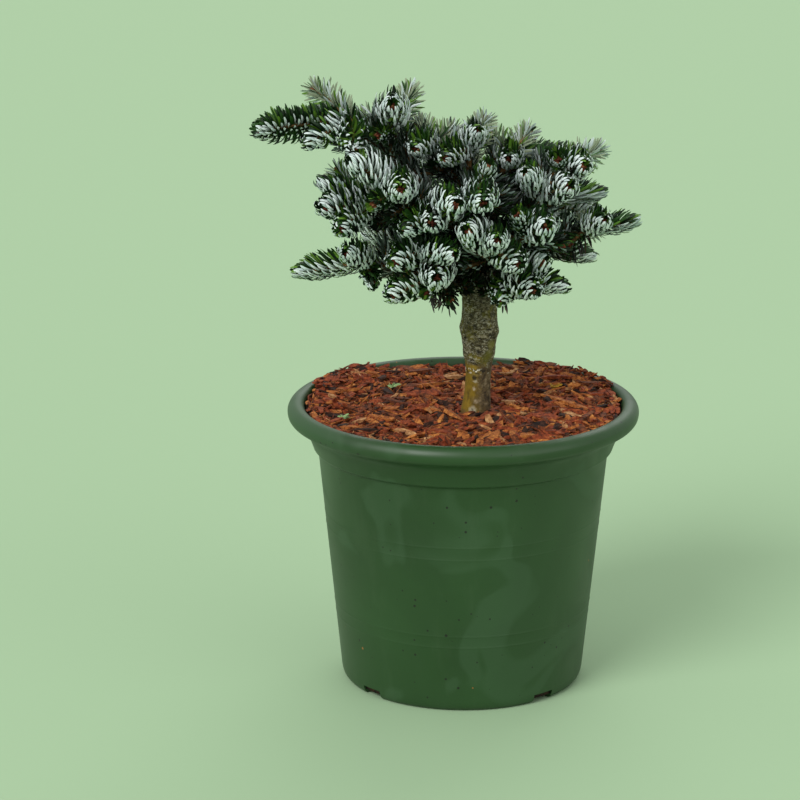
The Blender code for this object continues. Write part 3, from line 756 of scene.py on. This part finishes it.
def makeTwigs():
    vertices, quads = [], []
    for k, (name, row) in enumerate(rows.items()):
        fork = forkOf(row)
        heading = curveHeading(curves[name], 1.0)
        start = curves[name][2] - heading * 1.5 * mm
        if row[4] == 1.0:
            start = curvePoint(curves[row[3]], 1.0) - heading * 2.0 * mm
        middle = (start + fork) / 2
        tube, grid = limbTube((start, middle, fork + heading * 0.8 * mm),
                              lambda share: bough["stemRadius"] * (1.0 - 0.12 * share), 8, 10, 0.35 * mm, 0, 1, k * 2.3)
        quads.append(grid + len(vertices))
        vertices.extend(tube)
    for k, shoot in enumerate(shoots + spurs):
        end = shoot["fork"] + shoot["along"] * (shoot["length"] - 1.0 * mm)
        middle = (shoot["fork"] + end) / 2
        tube, grid = limbTube((shoot["fork"], middle, end), lambda share: (2.0 - 0.8 * share) * mm, 9, 8, 0.25 * mm,
                              0, 1, 50 + k)
        quads.append(grid + len(vertices))
        vertices.extend(tube)
    piece = makeMesh("twigs", vertices, 4, np.concatenate(quads).ravel(), [twigBark])
    place(piece, "bough_bark")
    print("stage: twigs made")


makeBoughs()
makeTwigs()



inner = {"perMillimetre": 2.0, "start": 0.30, "length": 13.0, "width": 1.8, "lean": 0.75, "lift": 0.40}
loose = {
    "length": 15.5, "width": 1.5, "sag": 0.45,
    "places": (("bottom_left", 2, 12), ("bottom_left", 3, 20), ("right_arm", 3, 26),
               ("bottom_right", 3, 10)),
}
looseMaterials = [
    plainMaterial("old_needle_dark", srgb(34, 30, 26), 0.7),
    plainMaterial("old_needle_brown", srgb(70, 52, 40), 0.7),
]


def makeInnerNeedles():
    rng = np.random.default_rng(77)
    blocks = []
    for name, row in rows.items():
        curve, stem = curves[name], bough["stem"] / mm - 1.0
        reach = 0.0 if row[4] == 1.0 else np.linalg.norm(curve[2] - curve[0]) / mm * (1 - inner["start"])
        count = int((reach + stem) * inner["perMillimetre"])
        travel = (reach + stem) * (np.arange(count) + rng.uniform(0, 1, count)) / count
        for k, gone in enumerate(travel):
            share = min(1.0, inner["start"] + gone / max(reach, 0.01) * (1 - inner["start"]))
            if reach == 0.0:
                share = 1.0
            along = curveHeading(curve, share)
            centre = curvePoint(curve, share) + along * max(0.0, gone - reach) * mm
            radius = boughRadius(row, share) if gone < reach else bough["stemRadius"]
            side, up = sideAndUp(along)
            angle = math.radians(k * needle["turn"]) + rng.uniform(-0.3, 0.3)
            radial = math.cos(angle) * up + math.sin(angle) * side
            start = unit(radial + along * inner["lean"] + rng.normal(0, 0.15, 3))
            end = unit(along * 1.1 + radial * 0.25 + vec((0, 0, inner["lift"])) + rng.normal(0, 0.15, 3))
            blocks.append(needleShapes((centre + radial * radius * 0.9)[None], start[None], end[None],
                                       vec([inner["length"] * rng.uniform(0.75, 1.1) * mm]),
                                       vec([inner["width"] * mm]), vec([rng.normal(0, 0.3)]), 60, 1.2, "plain"))
    shapes = np.concatenate(blocks)
    keep = np.ones(len(shapes), bool)
    for station in (1, 2):
        points = shapes[:, station].mean(axis=1)
        for a, b, radius in limbSegments:
            keep &= segmentDistance(points, a, b) > radius + 0.5 * mm
        for shoot in shoots:
            keep &= segmentDistance(points, shoot["fork"], shoot["fork"] + shoot["length"] * shoot["along"]) > 3.0 * mm
    shapes = shapes[keep]
    # The inner needles get the shaded habit's painted shade colours.
    count = joinNeedles("needles_inner", [shapes], [needleSlots(shapes, "shaded", rng)])
    print("stage: inner needles made,", count)


def makeLooseNeedles():
    rng = np.random.default_rng(91)
    blocks = []
    for name, index, count in loose["places"]:
        shoot = [s for s in shoots if s["mass"] == name][index]
        along = shoot["along"]
        side, up = sideAndUp(along)
        for k in range(count):
            angle = math.radians(180 + rng.uniform(-60, 60))
            radial = math.cos(angle) * up + math.sin(angle) * side
            start = unit(radial + along * loose["sag"] + rng.normal(0, 0.16, 3))
            end = unit(start + along * 0.4 + rng.normal(0, 0.1, 3))
            base = shoot["fork"] + along * shoot["length"] * (k + rng.uniform(0, 1)) / count + radial * 1.2 * mm
            blocks.append(needleShapes(base[None], start[None], end[None],
                                       vec([loose["length"] * rng.uniform(0.75, 1.1) * mm]),
                                       vec([loose["width"] * mm]), vec([rng.normal(0, 0.4)]), 40, 1.0))
    shapes = np.concatenate(blocks)
    loops, kind = needleLoops(len(shapes), shapes.shape[1])
    slots = np.repeat(rng.choice(2, len(shapes), p=(0.7, 0.3)), len(kind) // len(shapes))
    piece = makeMesh("needles_old", shapes.reshape(-1, 3), 4, loops, looseMaterials, slots)
    place(piece, "needles")
    print("stage: old needles made,", len(shapes))


makeInnerNeedles()
makeLooseNeedles()


# place, the two radii between which the spot fades, and colour
trunkSpots = (
    ((6.6, -22.4, 211.8), 3.4, 5.2, (160, 150, 126)), ((6.6, -22.4, 211.8), 1.8, 3.0, (66, 58, 42)),
    ((8.8, -21.6, 218.0), 2.2, 3.6, (160, 142, 116)), ((7.6, -21.4, 227.4), 2.1, 3.5, (178, 162, 138)),
    ((8.6, -21.4, 233.2), 2.2, 3.6, (176, 166, 140)), ((7.6, -21.4, 235.6), 3.0, 4.1, (18, 14, 10)), ((6.2, -21.0, 233.4), 1.9, 3.0, (190, 182, 158)),
    ((-2.0, -6.0, 232.0), 2.2, 3.6, (168, 152, 124)), ((20.0, -4.0, 222.0), 2.2, 3.6, (168, 152, 124)),
    ((13.0, -1.6, 229.0), 2.2, 3.6, (160, 144, 116)),
    ((17.5, -21.5, 253.0), 4.0, 8.0, (104, 102, 34)), ((20.0, -19.5, 261.0), 3.4, 7.0, (108, 104, 36)),
    ((26.5, -11.0, 262.0), 3.6, 7.5, (122, 98, 72)), ((25.0, -12.0, 251.0), 3.0, 6.5, (112, 92, 66)),
)


def trunkMaterial():
    material, tree, shader = newMaterial("trunk_bark", 0.8)
    links = tree.links
    split = tree.nodes.new("ShaderNodeSeparateXYZ")
    place = placeOf(tree)
    links.new(place, split.inputs[0])
    across, height = split.outputs["X"], split.outputs["Z"]
    cloud = noiseOf(tree, place, 120.0, 4.0, 0.6)
    edge = mathOf(tree, "MULTIPLY_ADD", cloud, 0.014, height)
    # The lower trunk is yellow-olive on its left side and darker grey-brown on its right side.
    stock = addGroup(tree, woodGrain, Dark=srgb(78, 62, 14), Middle=srgb(126, 100, 18), Light=srgb(152, 126, 40),
                     Scale=80.0, Stretch=0.5, Crack=0.3)
    rightSideBark = addGroup(tree, woodGrain, Dark=srgb(52, 41, 26), Middle=srgb(94, 77, 50), Light=srgb(134, 117, 90),
                         Scale=230.0, Stretch=0.9, Crack=0.5)
    scion = addGroup(tree, woodGrain, Dark=srgb(28, 23, 14), Middle=srgb(84, 76, 50), Light=srgb(160, 150, 122),
                     Scale=260.0, Stretch=1.6, Crack=0.75)
    mossy = addGroup(tree, woodGrain, Dark=srgb(48, 44, 12), Middle=srgb(108, 100, 30), Light=srgb(140, 122, 48),
                     Scale=120.0, Stretch=1.0, Crack=0.6)
    rightSide = rangeOf(tree, mathOf(tree, "MULTIPLY_ADD", cloud, 0.016, across), 0.0135, 0.0225)
    lower = mixOf(tree, rightSide, stock["Color"], rightSideBark["Color"])
    patch = rangeOf(tree, noiseOf(tree, place, 75.0, 3.0, 0.5, 0.6), 0.55, 0.63, 0.0, 0.8)
    upper = mixOf(tree, patch, scion["Color"], mossy["Color"])
    colour = mixOf(tree, rangeOf(tree, edge, 0.2515, 0.2550), lower, upper)
    # Painted shade: the bark darkens towards near-black brown from 0.29 to 0.31 m up, where the trunk runs into the
    # crown's shade.
    colour = mixOf(tree, rangeOf(tree, edge, 0.290, 0.310, 0.0, 0.6), colour, srgb(36, 30, 20))
    colour = mixOf(tree, rangeOf(tree, edge, 0.2185, 0.2150, 0.0, 0.7), colour, srgb(88, 64, 40))
    flat = placeOf(tree, 1.7)
    lichen = rangeOf(tree, noiseOf(tree, flat, 420.0, 3.0, 0.55, 0.8), 0.53, 0.60)
    lichen = mathOf(tree, "MULTIPLY", lichen, rangeOf(tree, edge, 0.252, 0.256, 0.0, 0.8))
    lichen = mathOf(tree, "MULTIPLY", lichen, rangeOf(tree, noiseOf(tree, place, 60.0), 0.36, 0.52, 0.25, 1.0))
    colour = mixOf(tree, lichen, colour, srgb(178, 172, 152))
    crust = rangeOf(tree, noiseOf(tree, placeOf(tree, 0.8), 380.0, 3.0, 0.5), 0.53, 0.57)
    crust = mathOf(tree, "MULTIPLY", crust, rangeOf(tree, noiseOf(tree, place, 90.0, 1.0), 0.38, 0.46))
    band = mathOf(tree, "MULTIPLY", rangeOf(tree, height, 0.2382, 0.2398), rangeOf(tree, height, 0.2432, 0.2414))
    crack = rangeOf(tree, noiseOf(tree, placeOf(tree, 0.8), 300.0, 2.0, 0.5), 0.46, 0.42, 0.0, 0.85)
    colour = mixOf(tree, mathOf(tree, "MULTIPLY", crack, band), colour, srgb(26, 21, 14))
    colour = mixOf(tree, mathOf(tree, "MULTIPLY", crust, band), colour, srgb(232, 226, 206))
    ragged = noiseOf(tree, place, 620.0, 3.0, 0.6)
    for spot, inside, outside, shade in trunkSpots:
        away = tree.nodes.new("ShaderNodeVectorMath")
        away.operation = "DISTANCE"
        links.new(place, away.inputs[0])
        away.inputs[1].default_value = [value * mm for value in spot]
        reach = mathOf(tree, "MULTIPLY_ADD", ragged, 0.0032, away.outputs["Value"])
        colour = mixOf(tree, rangeOf(tree, reach, outside * mm, inside * mm, 0.0, 0.85), colour, srgb(*shade))
    links.new(colour, shader.inputs["Base Color"])
    normal = bumpOf(tree, scion["Height"], 0.65, 0.0012)
    normal = bumpOf(tree, noiseOf(tree, place, 700.0, 4.0, 0.6), 0.4, 0.0003, normal)
    links.new(normal, shader.inputs["Normal"])
    return material


trunkLook = {
    "rings": 230, "sides": 110,
    "knots": ((0.265, -70, 1.8, 4.0), (0.335, -20, 1.9, 6.0), (0.38, -115, 1.3, 4.5), (0.30, 120, 1.6, 5.0),
              (0.43, 30, 1.4, 5.0), (0.222, -95, 0.9, 2.2), (0.21, -60, 0.7, 1.8), (0.47, -60, 1.2, 4.5),
              (0.36, 170, 1.5, 5.0), (0.17, -80, 0.6, 1.6), (0.13, 60, 0.8, 2.2)),
}


def makeTrunk():
    vertices = []
    curve = trunk["curve"]
    rings, sides = trunkLook["rings"], trunkLook["sides"]
    for k in range(rings):
        share = k / (rings - 1)
        centre = curvePoint(curve, share)
        along = curveHeading(curve, share)
        if share == 0.0:
            along = vec((0, 0, 1))
        radius = float(trunkRadius(share))
        rough = min(1.0, max(0.0, (share - trunk["graft"]) / 0.03))
        side = unit(np.cross(vec((0, 1, 0)), along))
        front = unit(np.cross(along, side))
        for j in range(sides):
            angle = 2 * math.pi * j / sides
            outward = math.cos(angle) * side + math.sin(angle) * front
            point = centre + radius * outward
            lump = 0.9 * noiseAt(point, 70, 3.0) + 0.5 * noiseAt(point * vec((1, 1, 0.5)), 190, 9.0)
            grain = noiseAt(point * vec((1, 1, 0.25)), 700, 5.0)
            plate = abs(noiseAt(point * vec((1, 1, 0.45)), 260, 12.0))
            height = 0.25 * lump + 0.10 * grain + rough * (0.75 * lump + 0.25 * grain - 0.9 * plate + 0.2)
            for knotShare, knotTurn, knotHeight, knotWidth in trunkLook["knots"]:
                rise = (share - knotShare) * 178.0
                away = ((math.degrees(angle) - knotTurn + 180) % 360 - 180) / 57.3 * radius / mm
                height += knotHeight * math.exp(-(rise * rise + away * away) / (2 * (knotWidth / 1.6) ** 2))
            vertices.append(centre + (radius + height * mm * min(1.0, share * 25 + 0.1)) * outward)
    quads = gridLoops(rings, sides)
    first = len(vertices)
    vertices.append(curvePoint(curve, 1.0) + curveHeading(curve, 1.0) * 1.0 * mm)
    cap = [(rings - 1) * sides + j for j in range(sides)]
    extra = [(cap[j], cap[(j + 1) % sides], first, first) for j in range(sides)]
    loops = np.concatenate([quads, np.array(extra)])
    piece = makeMesh("trunk_bark", vertices, 4, loops[:len(quads)].ravel(), [trunkMaterial()])
    place(piece, "trunk_bark", ["trunk"])
    print("stage: trunk made")


makeTrunk()



pot = {
    "steps": 180,
    "lip": ((122.8, 213.5), (127.2, 212.6), (130.3, 209.2), (131.0, 205.0), (129.4, 200.6), (125.6, 199.0)),
    "collar": ((118.6, 195.2), (115.4, 189.2), (112.2, 181.2), (111.6, 178.8), (108.6, 177.4)),
    "inside": ((105.8, 176.8), (112.8, 190.6), (116.8, 197.8), (118.0, 208.4), (119.4, 212.0)),
    "bodyTop": (108.0, 176.0), "bodyFoot": (91.0, 8.0), "corner": ((90.2, 4.0), (88.8, 1.4), (86.6, 0.0)),
    "wall": 2.0, "floor": 3.0, "ridges": (130.4, 120.8, 60.1, 51.2), "ridgeProud": 0.16, "ridgeHalf": 1.3,
    "drainTurns": (-49.0, 41.0, 131.0, 221.0), "drainWidth": 18.0, "drainHeight": 7.0,
}


def bodyRadius(height):
    (topRadius, topHeight), (footRadius, footHeight) = pot["bodyTop"], pot["bodyFoot"]
    return footRadius + (height - footHeight) / (topHeight - footHeight) * (topRadius - footRadius)


def rounded(points, amount=0.28):
    # Cuts each inner corner once, which softens the turned profile.
    result = [points[0]]
    for before, here, after in zip(points, points[1:], points[2:]):
        a, b, c = vec(before), vec(here), vec(after)
        result.append(tuple(b + (a - b) * amount))
        result.append(tuple(b + (c - b) * amount))
    result.append(points[-1])
    return result


def potProfile():
    upper = list(pot["inside"][1:]) + list(pot["lip"]) + list(pot["collar"]) + [pot["bodyTop"]]
    upper = rounded(rounded(upper))
    lower = []
    for height in pot["ridges"]:
        half = pot["ridgeHalf"]
        for step in range(7):
            offset = half * (1 - step / 3.0)
            proud = pot["ridgeProud"] * math.cos(offset / half * math.pi / 2) ** 2
            lower.append((bodyRadius(height + offset) + proud, height + offset))
    foot = rounded([pot["bodyFoot"]] + list(pot["corner"]) + [(84.0, 0.0)])
    within = [(0.0, 0.0), (0.0, pot["floor"]), (bodyRadius(pot["floor"]) - pot["wall"], pot["floor"]), pot["inside"][0]]
    return upper + lower + foot + within


def potMaterial():
    material, tree, shader = newMaterial("pot_plastic", 0.38, 0.5)
    place = placeOf(tree)
    wash = noiseOf(tree, place, 7.0, 3.0, 0.5, 0.6)
    colour = mixOf(tree, rangeOf(tree, wash, 0.35, 0.65), srgb(30, 60, 25), srgb(38, 71, 33))
    smear = noiseOf(tree, place, 13.0, 2.0, 0.5, 0.9)
    smudge = rangeOf(tree, smear, 0.56, 0.60, 0.0, 0.16)
    colour = mixOf(tree, smudge, colour, srgb(74, 104, 76))
    dust = rangeOf(tree, noiseOf(tree, placeOf(tree, 0.25), 46.0, 5.0, 0.65), 0.54, 0.78, 0.0, 0.05)
    colour = mixOf(tree, dust, colour, srgb(120, 134, 112))
    dirt = addGroup(tree, specks, Scale=220.0, Size=0.20, Share=0.12)["Mask"]
    colour = mixOf(tree, dirt, colour, srgb(16, 18, 10))
    bark = addGroup(tree, specks, Scale=160.0, Size=0.16, Share=0.03)["Mask"]
    colour = mixOf(tree, bark, colour, srgb(140, 92, 40))
    tree.links.new(colour, shader.inputs["Base Color"])
    tree.links.new(rangeOf(tree, smear, 0.45, 0.60, 0.42, 0.52), shader.inputs["Roughness"])
    normal = bumpOf(tree, noiseOf(tree, place, 22.0, 3.0, 0.5), 0.12, 0.0015)
    normal = bumpOf(tree, noiseOf(tree, place, 850.0, 3.0, 0.6), 0.07, 0.0002, normal)
    tree.links.new(normal, shader.inputs["Normal"])
    return material


def makePot():
    profile = potProfile()
    steps = pot["steps"]
    turns = np.arange(steps) * 2 * math.pi / steps
    vertices = np.concatenate([
        np.stack([r * np.cos(turns), r * np.sin(turns), np.full(steps, z)], axis=1) for r, z in profile]) * mm
    count = len(profile)
    quads = []
    k = np.arange(steps)
    after = (k + 1) % steps
    for ring in range(count):
        low, high = ring * steps, ((ring + 1) % count) * steps
        quads.append(np.stack([low + k, high + k, high + after, low + after], axis=1))
    piece = makeMesh("pot_shell", vertices, 4, np.concatenate(quads).ravel(), [potMaterial()])
    weld = piece.modifiers.new("weld", "WELD")
    weld.merge_threshold = 0.00001
    for turn in pot["drainTurns"]:
        outward = aim(turn, 0.0)
        across = vec((-outward[1], outward[0], 0.0)) * pot["drainWidth"] / 2
        corners = []
        for height in (-pot["drainHeight"], pot["drainHeight"]):
            for radius, side in ((80, -1), (100, -1), (100, 1), (80, 1)):
                corners.append((radius * outward + side * across + vec((0, 0, height))) * mm)
        faces = [3, 2, 1, 0, 4, 5, 6, 7, 0, 1, 5, 4, 1, 2, 6, 5, 2, 3, 7, 6, 3, 0, 4, 7]
        cutter = makeMesh("drain_cutter", corners, 4, faces, [], smooth=False)
        cut = piece.modifiers.new("drain", "BOOLEAN")
        cut.operation = "DIFFERENCE"
        cut.solver = "EXACT"
        cut.object = cutter
        graph = bpy.context.evaluated_depsgraph_get()
        mesh = bpy.data.meshes.new_from_object(piece.evaluated_get(graph))
        piece.modifiers.clear()
        piece.data = mesh
        bpy.data.objects.remove(cutter, do_unlink=True)
    piece.data.set_sharp_from_angle(angle=math.radians(38))
    place(piece, "pot_plastic", ["pot"])
    print("stage: pot made")


makePot()



mulch = {
    "top": 206.7, "edge": 117.0, "heap": 5.6, "heapTurns": (40.0, 146.0), "rings": 60, "sides": 180,
    # share, length, width and depth of each kind of piece, in millimetres
    "kinds": ((0.40, (6, 19), (0.9, 2.1), (0.6, 1.2)), (0.31, (4, 9), (1.8, 3.4), (0.8, 1.6)),
              (0.12, (10, 21), (2.8, 6.2), (1.3, 2.6)), (0.17, (9, 24), (0.4, 0.8), (0.4, 0.7))),
    "chunks": (0.24, -34.0, 40.0),
    # where a long piece starts and ends on the mulch, its width, and its tone in mulchMaterials
    "slivers": (
        ((60, 21), (93, -16), 4.6, 3), ((12, -46), (26, -10), 4.8, 0), ((90, 46), (113, 45), 4.0, 1),
        ((28, 6), (44, 2), 8.5, 4), ((20, -74), (20, -94), 8.0, 3), ((34, -72), (35, -92), 4.6, 3),
        ((39, -88), (50, -86), 6.0, 3), ((-12, 74), (2, 78), 9.0, 4), ((-15, -12), (-2, -46), 6.0, 3),
        ((-42, 22), (-16, 26), 6.5, 0), ((-30, -14), (-14, -22), 7.0, 3), ((48, -30), (70, -44), 6.0, 0),
        ((-70, -30), (-52, -44), 3.2, 3), ((-60, 12), (-38, -4), 3.0, 1), ((72, -18), (88, -40), 3.6, 4),
        ((30, 40), (56, 34), 3.4, 1), ((-34, 44), (-12, 58), 4.2, 3), ((50, -62), (66, -50), 5.5, 2),
        ((-28, -66), (-6, -80), 3.6, 0), ((58, 62), (84, 58), 3.4, 0), ((-96, 20), (-78, 34), 3.0, 3),
        ((-50, -70), (-34, -86), 3.2, 4), ((10, 92), (34, 86), 4.4, 0), ((-40, 84), (-18, 96), 4.0, 1),
        ((96, -22), (84, -48), 3.4, 1), ((-88, -10), (-104, 8), 3.4, 0), ((6, 40), (24, 52), 4.0, 4),
    ),
    "count": 5600, "piled": 420, "wall": 117.4,
}
mulchMaterials = [
    grainMaterial("mulch_red", (76, 29, 12), (137, 59, 28), (174, 90, 46), 300.0, 0.0005),
    grainMaterial("mulch_brown", (54, 25, 11), (106, 52, 25), (148, 82, 42), 300.0, 0.0005),
    grainMaterial("mulch_dark", (22, 11, 7), (50, 26, 16), (82, 47, 31), 300.0, 0.0005),
    grainMaterial("mulch_orange", (116, 58, 22), (172, 98, 43), (212, 140, 70), 260.0, 0.0005),
    grainMaterial("mulch_tan", (126, 78, 44), (178, 124, 78), (216, 168, 118), 260.0, 0.0005),
]


def heapAt(x, y):
    share = math.hypot(x, y) / 118.0
    turn = math.degrees(math.atan2(y, x))
    height = 0.0
    for heapTurn in mulch["heapTurns"]:
        away = abs((turn - heapTurn + 180.0) % 360.0 - 180.0)
        height += max(0.0, 1.0 - away / 50.0)
    return mulch["heap"] * height * share ** 2


def makeSoil():
    outline = [(0.0, 3.35), (bodyRadius(3.0) - 2.45, 3.35)]
    outline += [(r - 0.45, z) for r, z in pot["inside"][:3]]
    sides = mulch["sides"]
    turns = np.arange(sides) * 2 * math.pi / sides
    vertices = []
    for radius, height in outline:
        for a in turns:
            vertices.append((radius * math.cos(a), radius * math.sin(a), height))
    foot = trunk["curve"][0] / mm
    for ring in range(mulch["rings"]):
        share = 1.0 - ring / (mulch["rings"] - 1)
        radius = 1.0 + (mulch["edge"] - 1.0) * share
        for a in turns:
            x = radius * math.cos(a) + foot[0] * (1 - share)
            y = radius * math.sin(a) + foot[1] * (1 - share)
            lump = 1.5 * noiseAt((x, y, 0), 0.11, 4.0) + 0.8 * noiseAt((x, y, 0), 0.4, 8.0)
            near = min(1.0, max(0.0, (math.hypot(x - foot[0], y - foot[1]) - 12.0) / 10.0))
            vertices.append((x, y, mulch["top"] - 0.6 + near * (heapAt(x, y) + lump)))
    quads = gridLoops(len(outline) + mulch["rings"], sides)
    # The bed's colours are dark bark browns darkened further as painted shade for the gaps between the chips.
    piece = makeMesh("mulch_bed", np.array(vertices) * mm, 4, quads.ravel(), [grainMaterial("mulch_bed", (18, 11, 8), (48, 28, 18), (86, 50, 30), 260.0, 0.002)])
    place(piece, "bark_mulch", ["growing_medium"])


def makeChips():
    rng = np.random.default_rng(5)
    total = mulch["count"] + mulch["piled"]
    foot = trunk["curve"][0] / mm
    turns = rng.uniform(0, 2 * math.pi, total)
    radii = 116.5 * np.sqrt(rng.uniform(0, 1, total))
    piled = np.arange(total) >= mulch["count"]
    sides = np.where(rng.uniform(0, 1, total) < 0.52, np.radians(rng.uniform(126, 160, total)),
                     np.radians(rng.uniform(20, 67, total)))
    turns = np.where(piled, sides, turns)
    radii = np.where(piled, rng.uniform(103, 120.5, total), radii)
    x, y = radii * np.cos(turns), radii * np.sin(turns)
    kinds = rng.choice(len(mulch["kinds"]), total, p=[kind[0] for kind in mulch["kinds"]])
    chunkShare, chunkLeft, chunkBack = mulch["chunks"]
    kinds[(rng.uniform(0, 1, total) < chunkShare) & (x > chunkLeft) & (y < chunkBack)] = 2
    sizes = np.array([[rng.uniform(*mulch["kinds"][k][part]) for part in (1, 2, 3)] for k in kinds])
    near = np.hypot(x - foot[0], y - foot[1])
    keep = near > 11.6
    heading = rng.uniform(0, 2 * math.pi, total)
    room = np.maximum(1.5, np.where(piled, 122.5, mulch["wall"]) - radii)
    alongWall = (sizes[:, 0] / 2 > room) | (near < 12 + sizes[:, 0] / 2)
    wallTurn = np.where(near < 24, np.arctan2(y - foot[1], x - foot[0]), turns) + math.pi / 2
    heading = np.where(alongWall, wallTurn + rng.normal(0, 0.12, total), heading)
    sizes[:, 0] = np.where(alongWall, np.minimum(sizes[:, 0], 11), sizes[:, 0])
    tilt = rng.normal(0, 0.24, total)
    along = np.stack([np.cos(heading) * np.cos(tilt), np.sin(heading) * np.cos(tilt), np.sin(tilt)], axis=1)
    side = unit(np.cross(along, vec((0, 0, 1))))
    up = np.cross(side, along)
    roll = rng.normal(0, 0.42, total)[:, None]
    side, up = np.cos(roll) * side + np.sin(roll) * up, np.cos(roll) * up - np.sin(roll) * side
    height = np.array([mulch["top"] + heapAt(a, b) for a, b in zip(x, y)])
    height += np.where(piled, rng.uniform(0.5, 4.6, total) * np.clip((radii - 100) / 16, 0, 1), rng.uniform(-0.8, 1.9, total))
    height += np.where(kinds == 2, 0.9, 0.0)
    height = np.where(piled & (radii > 117.5), np.maximum(height, 213.2), height)
    centre = np.stack([x, y, height], axis=1)
    tones = rng.choice(len(mulchMaterials), total, p=(0.36, 0.25, 0.13, 0.21, 0.05))
    for k, (begin, finish, width, tone) in enumerate(mulch["slivers"]):
        ends = [vec((a, b, mulch["top"] + heapAt(a, b) + 3.0 + rng.uniform(0, 1.2))) for a, b in (begin, finish)]
        centre[k] = (ends[0] + ends[1]) / 2
        along[k] = unit(ends[1] - ends[0])
        side[k] = unit(np.cross(along[k], vec((0, 0, 1))) + vec((0, 0, rng.normal(0, 0.25))))
        up[k] = np.cross(side[k], along[k])
        sizes[k] = (np.linalg.norm(ends[1] - ends[0]), width * 1.3, 2.6)
        tones[k], keep[k] = tone, True
    bend = rng.normal(0, 0.07, total)[:, None] * sizes[:, :1]
    rings = []
    for share, low, high in ((-0.5, 0.30, 0.90), (-0.2, 0.85, 1.1), (0.2, 0.85, 1.1), (0.5, 0.20, 0.80)):
        wide = sizes[:, 1:2] / 2 * rng.uniform(low, high, (total, 1))
        deep = sizes[:, 2:3] / 2 * rng.uniform(low, high, (total, 1))
        middle = centre + along * sizes[:, :1] * share + side * bend * (1 - abs(share) * 2)
        for a, b in ((-1, -1), (1, -1), (1, 1), (-1, 1)):
            slip = along * rng.uniform(-0.06, 0.06, (total, 1)) * sizes[:, :1]
            rings.append(middle + side * wide * a + up * deep * b + slip)
    vertices = np.stack(rings, axis=1)[keep]
    quads = [(0, 3, 2, 1), (12, 13, 14, 15)]
    for ring in range(3):
        low = ring * 4
        quads += [(low + k, low + (k + 1) % 4, low + 4 + (k + 1) % 4, low + 4 + k) for k in range(4)]
    quads = np.array(quads)[None] + (np.arange(len(vertices)) * 16)[:, None, None]
    piece = makeMesh("mulch_chips", vertices.reshape(-1, 3) * mm, 4, quads.ravel(), mulchMaterials,
                     np.repeat(tones[keep], 14), False)
    place(piece, "bark_mulch")
    print("stage: mulch made,", len(vertices), "pieces")


sprigs = {
    "size": 5.6, "width": 2.0,
    # place on the mulch, height over it, number of leaves, material of the leaves
    "places": (((-88.0, -38.0), 2.6, 12, "pale"), ((-53.0, 41.0), 2.6, 9, "pale"), ((69.0, 34.0), 4.4, 9, "yellow")),
}
sprigMaterials = {
    "pale": [grainMaterial("sprig_green", (124, 156, 98), (160, 188, 128), (188, 208, 156), 500.0, 0.0002),
             grainMaterial("sprig_vein", (108, 140, 84), (138, 166, 108), (164, 186, 136), 500.0, 0.0002)],
    "yellow": [grainMaterial("sprig_yellow", (176, 126, 22), (216, 168, 36), (234, 198, 70), 500.0, 0.0002),
               grainMaterial("sprig_ochre", (120, 84, 24), (160, 118, 36), (190, 150, 60), 500.0, 0.0002)],
}


def makeSprigs():
    rng = np.random.default_rng(3)
    for number, ((x, y), lift, count, tone) in enumerate(sprigs["places"]):
        base = vec((x, y, mulch["top"] + heapAt(x, y) + lift)) * mm
        turns = np.arange(count) * 2.4
        start = unit(np.stack([np.cos(turns), np.sin(turns), np.full(count, 0.9)], axis=1))
        end = unit(np.stack([np.cos(turns), np.sin(turns), np.full(count, -0.1)], axis=1))
        bases = base + np.stack([np.cos(turns * 2), np.sin(turns * 2), rng.uniform(-0.5, 1.0, count)], axis=1) * mm
        shapes = needleShapes(bases, start, end, sprigs["size"] * mm * rng.uniform(0.6, 1.2, count),
                              np.full(count, sprigs["width"] * mm), rng.normal(0, 0.5, count), 70, 1.0)
        loops, kind = needleLoops(count, shapes.shape[1])
        piece = makeMesh("sprig_{}".format(number + 1), shapes.reshape(-1, 3), 4, loops, sprigMaterials[tone],
                         (kind == 1).astype(int))
        place(piece, "needles")


makeSoil()
makeChips()
makeSprigs()


stageLook = {"floor": srgb(163, 189, 154), "world": (0.80, 0.86, 0.80, 1.0), "worldStrength": 0.70}


def makeStage():
    size = 14.0
    piece = makeMesh("floor", [(-size, -size, 0), (size, -size, 0), (size, size, 0), (-size, size, 0)], 4,
                     [0, 1, 2, 3], [plainMaterial("floor_plain", stageLook["floor"], 0.9, 0.1)], smooth=False)
    world = bpy.context.scene.world or bpy.data.worlds.new("studio")
    bpy.context.scene.world = world
    world.use_nodes = True
    background = world.node_tree.nodes["Background"]
    background.inputs["Color"].default_value = stageLook["world"]
    background.inputs["Strength"].default_value = stageLook["worldStrength"]


suns = {
    "key": {"from": (-1.5, -1.9, 1.9), "angle": 32, "strength": 2.02},
    "fill": {"from": (1.9, -1.7, 0.65), "angle": 60, "strength": 0.65},
    "back": {"from": (0.4, 2.0, 1.9), "angle": 45, "strength": 0.75},
}


def makeSuns():
    for name, sun in suns.items():
        data = bpy.data.lights.new(name, "SUN")
        data.angle = math.radians(sun["angle"])
        data.energy = sun["strength"]
        thing = bpy.data.objects.new(name, data)
        bpy.context.scene.collection.objects.link(thing)
        thing.location = sun["from"]
        thing.rotation_euler = (-Vector(sun["from"])).to_track_quat("-Z", "Y").to_euler()


def makeCamera():
    tilt = math.radians(15.7)
    target = Vector((-0.047, 0.0, 0.213))
    data = bpy.data.cameras.new("camera")
    data.sensor_width = 36.0
    data.lens = 3359.0 * 36.0 / 800.0
    camera = bpy.data.objects.new("camera", data)
    bpy.context.scene.collection.objects.link(camera)
    camera.location = target + Vector((0.0, -math.cos(tilt), math.sin(tilt))) * 2.5
    camera.rotation_euler = (target - camera.location).to_track_quat("-Z", "Y").to_euler()
    data.clip_end = 60.0
    bpy.context.scene.camera = camera


makeStage()
makeSuns()
makeCamera()
bpy.context.scene.view_settings.view_transform = "Standard"
